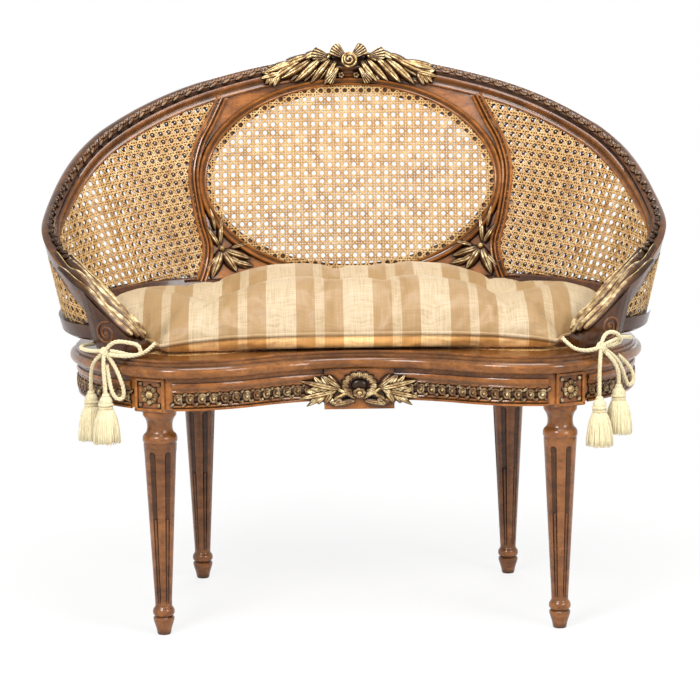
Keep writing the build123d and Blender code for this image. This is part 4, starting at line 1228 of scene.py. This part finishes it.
def terminals():
    """Acanthus strands over the arm's end, leaves under them and the scroll outside."""
    for side, sign in (("left", -1), ("right", 1)):
        shape = Shape()
        for k, (inward, first, last, drop, size) in enumerate(ARM_STRANDS):
            line, radii = [], []
            for j in range(27):
                t = j / 26
                angle = first + (last - first) * t
                height = smooth(TERMINAL_TOP, angle) - drop * math.sin(math.pi * min(1, t * 1.2 + .1))
                ripple = .0026 * math.sin(t * 13 + k * 1.7)
                line.append(basket(sign * angle, max(.010, height + ripple), inward))
                swell = .25 + .75 * math.sin(math.pi * min(.78, t * .78 + .04))**.6
                radii.append(size * swell * (1 if j < 26 else .7))
            verts, faces = tube(line, radii, 9)
            # relief: more gilt along the strand and on its top, painted shade on its underside
            gilt_and_underside_shade = []
            for n, v in enumerate(verts):
                j = min(26, n // 9)
                ridge = clamp((v.z - line[j].z) / radii[j])
                gilt_and_underside_shade.append((.30 + .55 * ease((j / 26 - .20) / .50)) * (.28 + .72 * ridge))
            shape.add(verts, faces, gilt_and_underside_shade)
            edge = [p + axes(sign * 118)[1] * .002 + Vector((0, 0, r * .80)) for p, r in zip(line, radii)]
            shape.add(*toned(tube(edge, [r * .30 for r in radii], 6), 1.0))
        for angle, height, turn, size in ARM_LEAVES:
            up, inward, along = axes(sign * angle)
            a = math.radians(turn)
            direction = along * sign * math.cos(a) + up * math.sin(a)
            place = placed(basket(sign * angle, height, .0165), direction, inward)
            shape.add(*blade(size, .015, .006, gilt=.72), place=place)
        shape.piece(f"arm_acanthus_{side}", CARVED)
        scroll = Shape()
        _, inward, along = axes(sign * 124.5)
        place = placed(basket(sign * 124.5, .034, -.0195), along * sign, -inward)
        radii = [.0024 - .0008 * k / 60 for k in range(61)]
        scroll.add(*toned(tube(spiral(.019, .015, 1.2, 11, 60), radii, 7), .42), place=place)
        scroll.add(*ball(ORIGIN, .0042, (1, 1, .6)), place=place)
        scroll.piece(f"arm_volute_{side}", RAILING)


# Legs: plan place and facing in degrees; (height, radius) of the turned ends, in metres
LEGS = {"front_right": ((.3056, -.2411), -62), "front_left": ((-.3056, -.2411), 242),
        "rear_right": ((.2584, .1201), 66), "rear_left": ((-.2584, .1201), 114)}
LEG_FOOT = [(0, .0098), (.0015, .0106), (.010, .0122), (.018, .0148), (.0235, .0163), (.0265, .0163),
            (.0280, .0148), (.0290, .0138), (.0302, .0150), (.0325, .0166), (.0360, .0170), (.0395, .0163),
            (.0420, .0146), (.0435, .0136)]
LEG_NECK = [(.3010, .0250), (.3020, .0262), (.3060, .0268), (.3100, .0262), (.3130, .0244), (.3150, .0222),
            (.3175, .0206), (.3225, .0194), (.3285, .0194), (.3345, .0206), (.3390, .0228), (.3415, .0250),
            (.3440, .0258), (.3520, .0258)]
SHAFT_FOOT, SHAFT_TOP, SHAFT_LENGTH, FOOT_RADIUS, TOP_RADIUS = .0455, .2995, .2535, .0130, .0255
FLUTES, FLUTE_TOP, FLUTE_FOOT, CABLE_TOP = 6, .2880, .0500, .1830


def flute_cut(away, z, width):
    """Depth of a flute or of the rod in its lower part, at a distance away from its middle."""
    end = min(z - FLUTE_FOOT, FLUTE_TOP - z)
    if end <= 0:
        return 0.0
    half = width * math.sqrt(max(0, 1 - max(0, 1 - end / width)**2))
    if away >= half:
        return 0.0
    depth = .80 * width * math.sqrt(1 - (away / half)**2)
    rod = .76 * width
    rise = CABLE_TOP - z
    if rise > 0:
        rod *= math.sqrt(max(0, 1 - max(0, 1 - rise / rod)**2))
        if away < rod:
            depth = min(depth, .0006 + .55 * width * (1 - math.sqrt(1 - (away / rod)**2)))
    return depth


def leg(name, centre, angle):
    """Turned and fluted leg under its square block."""
    x, y = centre
    facing = math.radians(angle)
    heights = [SHAFT_FOOT + .0028 * k for k in range(91)]
    heights += [FLUTE_TOP - .0007 * k for k in range(9)] + [CABLE_TOP + .0010 - .0007 * k for k in range(9)]
    body = [(z, FOOT_RADIUS + (TOP_RADIUS - FOOT_RADIUS) * (z - SHAFT_FOOT) / SHAFT_LENGTH)
            for z in sorted(set(heights)) if z < SHAFT_TOP]
    sides = 192
    rows, relief = [], []
    for z, radius in LEG_FOOT + body + LEG_NECK:
        row = []
        width = .0031 + .0021 * (z - FLUTE_FOOT) / (FLUTE_TOP - FLUTE_FOOT)
        for k in range(sides):
            turn = 2 * math.pi * k / sides
            away = abs((turn + math.pi / FLUTES) % (2 * math.pi / FLUTES) - math.pi / FLUTES) * radius
            cut = flute_cut(away, z, width) if SHAFT_FOOT <= z < SHAFT_TOP else 0.0
            # relief low in the flutes, where the rail material paints shade
            if cut > 0:
                relief.append(.50 if cut <= .0010 and z < CABLE_TOP else .12)
            else:
                relief.append(.95)
            around = turn + facing
            left = radius - cut
            row.append(Vector((x + left * math.cos(around), y + left * math.sin(around), z)))
        rows.append(row)
    shape = Shape()
    shape.add(*rings(rows), relief)
    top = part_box(f"leg_{name}")[1][2]
    square = [Vector((x, y, 0)) + Matrix.Rotation(facing, 3, "Z") @ Vector((.026 * a, .026 * b, 0))
              for a, b in ((-1, -1), (1, -1), (1, 1), (-1, 1))]
    shape.add(*rings([[p + Vector((0, 0, z)) for p in square] for z in (.350, top)]), [.95] * 8)
    shape.moulding(f"leg_{name}_turned", RAILING, f"leg_{name}")


BORDER_REACH, BORDER_GROW = .0234, .0026
BORDER_SECTION = [(-.0026, -.002), (-.0024, .0026), (-.0012, .0034), (.0012, .0034), (.0024, .0022),
                  (.0026, -.002)]


def block_rosettes():
    """Rosette and square border on the face of each leg block."""
    petal = leaf(.0125, .0098, 1, .0042, notch=0, stem=.6)
    corner = leaf(.0100, .0070, 1, .0034, notch=0)
    for name, ((x, y), turn) in LEGS.items():
        shape, border = Shape(), Shape()
        normal = Vector((math.cos(math.radians(turn)), math.sin(math.radians(turn)), 0))
        side = UP.cross(normal)
        centre = Vector((x, y, .3770)) + normal * .0262
        for k in range(8):
            a = 2 * math.pi * k / 8
            d = side * math.cos(a) + UP * math.sin(a)
            shape.add(*petal, place=placed(centre + d * .0045, d, normal))
        for k in range(4):
            a = math.pi / 4 + math.pi / 2 * k
            d = side * math.cos(a) + UP * math.sin(a)
            shape.add(*corner, place=placed(centre + d * .0275, -d, normal))
        eye = toned(ball(ORIGIN, .0062, (1, 1, .7), 16, 8), .7)
        shape.add(*eye, place=placed(centre + normal * .002, side, normal))
        shape.piece(f"block_rosette_{name}", CARVED)
        corners = [centre + side * (BORDER_REACH * a) + Vector((0, 0, BORDER_REACH * b))
                   for a, b in ((-1, -1), (1, -1), (1, 1), (-1, 1))]
        for first, last in zip(corners, corners[1:] + corners[:1]):
            run = (last - first).normalized()
            cross = run.cross(normal)
            ends = first + run * -BORDER_GROW, last + run * BORDER_GROW
            border.add(*rings([[p + cross * a + normal * n for a, n in BORDER_SECTION] for p in ends]))
        border.moulding(f"block_border_{name}", WALNUT)


def apron_runs(inset):
    """Stretches of the apron's face between the leg blocks, on the front and the sides."""
    line = resample(seat_line(inset) + [seat_line(inset)[0]], .0029)
    runs, run = [], []
    for p in line:
        clear = all(math.hypot(p.x - x, p.y - y) > .0405 for (x, y), _ in LEGS.values())
        if clear and not (p.y > .10 and abs(p.x) < .27):
            run.append(p)
        elif run:
            runs.append(run)
            run = []
    if run:
        runs.append(run)
    return [r for r in runs if len(r) > 8]


APRON_BAND = [(.0000, .3955), (.0042, .3950), (.0056, .3920), (.0050, .3890), (.0028, .3862), (.0022, .3840),
              (.0030, .3825), (.0024, .3806), (.0000, .3800)]
APRON_FOOT = [(.0000, .3622), (.0022, .3616), (.0028, .3600), (.0018, .3584), (.0012, .3578), (.0034, .3566),
              (.0038, .3552), (.0034, .3535), (.0000, .3530)]
FRIEZE_GROUND = [(-.0010, .3616), (.0006, .3618), (.0006, .3804), (-.0010, .3806)]
FRIEZE_PITCH = .0175


def aprons():
    """Mouldings along the aprons, and the frieze of scrolls between them."""
    mouldings, frieze = Shape(), Shape()
    wave = [Vector((-.0088 + .0176 * t, .0076 * math.cos(math.pi * t), .0004 + .0006 * math.sin(math.pi * t)))
            for t in (j / 12 for j in range(13))]
    scroll = [toned(tube(spiral(.0066, .0040, .6, 8.5, 26, .0006), .0018, 6), .56),
              toned(ball(Vector((0, 0, .0010)), .0026, (1, 1, .8), 8, 5), .72),
              toned(tube(wave, .0020, 6), .50)]
    tip = blade(.0090, .0066, .0026, count=5, gilt=.75)
    for run in apron_runs(.0140):
        outs = [Vector((-tangent.y, tangent.x, 0)).normalized() for tangent, _, _ in frames(run)]

        def swept(section, inset):
            return [[Vector((p.x, p.y, z)) + out * (d - inset) for d, z in section]
                    for p, out in zip(run, outs)]

        mouldings.add(*rings(swept(APRON_BAND, .001)))
        for part in split_at(run, swept(APRON_FOOT, .001)):
            mouldings.add(*rings(part))
        for part in split_at(run, swept(FRIEZE_GROUND, 0)):
            frieze.add(*toned(rings(part), .38))
        count = max(1, round(travelled(run)[-1] / FRIEZE_PITCH))
        for k in range(count):
            at = (k + .5) / count * (len(run) - 1)
            i = min(len(run) - 2, int(at))
            p, out = run[i].lerp(run[i + 1], at - i), outs[i]
            if p.y < -.15 and abs(p.x) < .066:
                continue
            place = placed(Vector((p.x, p.y, .3710)) + out * .0010, UP.cross(out), out)
            place = place @ Matrix.Diagonal((1, 1.14, 1.3, 1))
            for part in scroll:
                frieze.add(*part, place=place)
            for sign in (1, -1):
                moved = Matrix.Translation((.0062 * sign, .0045 * sign, 0))
                turned = Matrix.Rotation(math.pi * (.2 if sign > 0 else 1.2), 4, "Z")
                frieze.add(*tip, place=place @ moved @ turned)
    mouldings.moulding("apron_mouldings", WALNUT)
    frieze.piece("apron_frieze", CARVED)


DROP_HALF, DROP_FRONT = .054, -.2022


def split_at(run, rows):
    """Rows of a moulding, without those that the drop block takes."""
    parts, part = [], []
    for p, row in zip(run, rows):
        if p.y < -.15 and abs(p.x) < DROP_HALF + .0005:
            if len(part) > 1:
                parts.append(part)
            part = []
        else:
            part.append(row)
    if len(part) > 1:
        parts.append(part)
    return parts


def on_apron(x, z, turn, out):
    """Placing on the front of the apron's middle."""
    a = math.radians(turn)
    y = -.193 - .010 * (x / DROP_HALF)**2 if abs(x) > DROP_HALF else DROP_FRONT
    y = min(y, DROP_FRONT - max(0, (abs(x) - DROP_HALF)) * .22)
    return placed(Vector((x, y - out, z)), Vector((math.cos(a), 0, math.sin(a))), FRONT)


CARTOUCHE_TOP = .4000


def cartouche():
    shape = Shape()
    centre = Vector((0, -.2025, .3765))
    pleat = leaf(.0135, .0098, 1, .0062, pleats=3, notch=0, stem=.7)
    petal = leaf(.0075, .0068, 1, .0035, notch=0, stem=.6)
    for k in range(13):
        a = math.radians(-50 + 280 * k / 12)
        d = Vector((math.cos(a), 0, math.sin(a)))
        shape.add(*pleat, place=placed(centre + d * .0110 + FRONT * .001, d, FRONT))
    shape.add(*toned(ball(ORIGIN, .0105, (1, 1, .4), 18, 6), .15), place=placed(centre, RIGHT, FRONT))
    rose = Vector((0, -.2085, .3655))
    for k in range(7):
        a = 2 * math.pi * k / 7
        d = Vector((math.cos(a), 0, math.sin(a)))
        shape.add(*petal, place=placed(rose + d * .002, d, FRONT))
    shape.add(*toned(ball(ORIGIN, .0032, (1, 1, .8)), .9), place=placed(rose + FRONT * .002, RIGHT, FRONT))
    items = [
        (.026, .3720, 16, .004, dict(length=.048, width=.030, pairs=3, height=.008)),
        (.032, .3690, -16, .003, dict(length=.046, width=.028, pairs=3, height=.008)),
        (.024, .3740, 42, .006, dict(length=.030, width=.012, height=.006)),
        (.040, .3640, -38, .002, dict(length=.032, width=.016, pairs=2, height=.006)),
        (.006, .3535, -14, .005, dict(length=.030, width=.012, height=.006)),
        (.022, .3600, -52, .004, dict(length=.020, width=.014, lobes=2, height=.006, pleats=3)),
    ]
    mirrored_pair(shape, on_apron, items)
    for sign in (1, -1):
        for (x0, z0), (x1, z1) in (((.006, .3560), (.047, .3880)), ((.010, .3700), (.036, .3510))):
            line = [Vector((sign * (x0 + (x1 - x0) * t), -.2065 + .0015 * abs(t - .5), z0 + (z1 - z0) * t))
                    for t in (k / 8 for k in range(9))]
            shape.add(*toned(tube(line, [.0016 + .0022 * k / 8 for k in range(9)], 8), .8))
    for v in shape.verts:
        v.x, v.z = v.x * 1.25, CARTOUCHE_TOP + (v.z - CARTOUCHE_TOP) * .98
    shape.piece("apron_cartouche", CARVED)


SPANDREL_LEAVES = [
    (.222, .116, 297, .050, .019), (.219, .115, 242, .042, .018), (.216, .116, 200, .046, .016),
    (.212, .108, 217, .040, .014), (.202, .098, 196, .036, .012), (.226, .124, 62, .040, .011),
    (.224, .126, 100, .048, .012), (.232, .150, 84, .040, .009), (.206, .120, 168, .030, .010),
    (.230, .106, 318, .030, .011)]


def spandrel_sprays():
    for side, sign in (("left", -1), ("right", 1)):
        shape = Shape()
        for k, (x, height, turn, length, width) in enumerate(SPANDREL_LEAVES):
            place = on_back(sign * x, height, turn if sign > 0 else 180 - turn, .0070 + .0008 * (k % 3))
            shape.add(*blade(length, width * 1.15, .0075, tip=.06), place=place)
        shape.add(*toned(ball(ORIGIN, .0045, (1, 1, .7)), .8), place=on_back(sign * .221, .119, 0, .012))
        shape.piece(f"spandrel_spray_{side}", CARVED)


for place, (spot, facing) in LEGS.items():
    leg(place, spot, facing)
crest()
rail_bands()
terminals()
block_rosettes()
aprons()
cartouche()
spandrel_sprays()


# Floor and light
def seen_ray(tree):
    """1 for rays that show the background: from the camera, or by way of metal, gloss and glass."""
    path = node(tree, "LightPath").outputs
    seen = path["Is Camera Ray"]
    for kind in ("Is Glossy Ray", "Is Transmission Ray"):
        seen = node(tree, "Math", {0: seen, 1: path[kind]}, operation="MAXIMUM").outputs[0]
    return seen


def studio():
    mesh = bpy.data.meshes.new("floor")
    size = 14
    corners = [(-size, -size, 0), (size, -size, 0), (size, size, 0), (-size, size, 0)]
    mesh.from_pydata(corners, [], [(0, 1, 2, 3)])
    floor = bpy.data.objects.new("floor", mesh)
    scene.collection.objects.link(floor)
    material, tree, shader = nodes_of("floor_white")
    feed(tree, shader, {"Base Color": (.86, .86, .86, 1), "Roughness": .9})
    place = node(tree, "NewGeometry").outputs["Position"]
    away = node(tree, "VectorMath", {0: place}, operation="LENGTH").outputs["Value"]
    scaled = node(tree, "Math", {0: away, 1: .4}, operation="MULTIPLY").outputs[0]
    white = ramp(tree, scaled, [(.28, grey(.80)), (.60, grey(1))])
    share = node(tree, "Math", {0: seen_ray(tree), 1: white}, operation="MULTIPLY").outputs[0]
    glow = node(tree, "Emission", {"Color": (1, 1, 1, 1), "Strength": 1.0}).outputs[0]
    both = node(tree, "MixShader", {0: share, 1: shader.outputs[0], 2: glow}).outputs[0]
    feed(tree, tree.nodes["Material Output"], {"Surface": both})
    mesh.materials.append(material)

    world = bpy.data.worlds.new("studio")
    scene.world = world
    world.use_nodes = True
    tree = world.node_tree
    background = tree.nodes["Background"]
    feed(tree, background, {"Color": (1, .985, .96, 1), "Strength": .40})
    white = node(tree, "Background", {"Color": (1, 1, 1, 1), "Strength": 1.0}).outputs[0]
    both = node(tree, "MixShader", {0: seen_ray(tree), 1: background.outputs[0], 2: white}).outputs[0]
    feed(tree, tree.nodes["World Output"], {"Surface": both})

    for name, place, size, power in (("key", (-1.4, -2.6, 2.5), 1.1, 84), ("fill", (2.0, -2.4, 1.7), 1.0, 40),
                                     ("top", (.2, -.6, 2.8), 1.2, 46), ("rear", (.4, 2.6, 2.0), 2.0, 40)):
        data = bpy.data.lights.new(name, "AREA")
        data.size = size
        data.energy = power
        lamp = bpy.data.objects.new(name, data)
        lamp.location = place
        lamp.rotation_euler = (Vector((0, 0, .5)) - Vector(place)).to_track_quat("-Z", "Y").to_euler()
        scene.collection.objects.link(lamp)
    scene.view_settings.view_transform = "Standard"


studio()
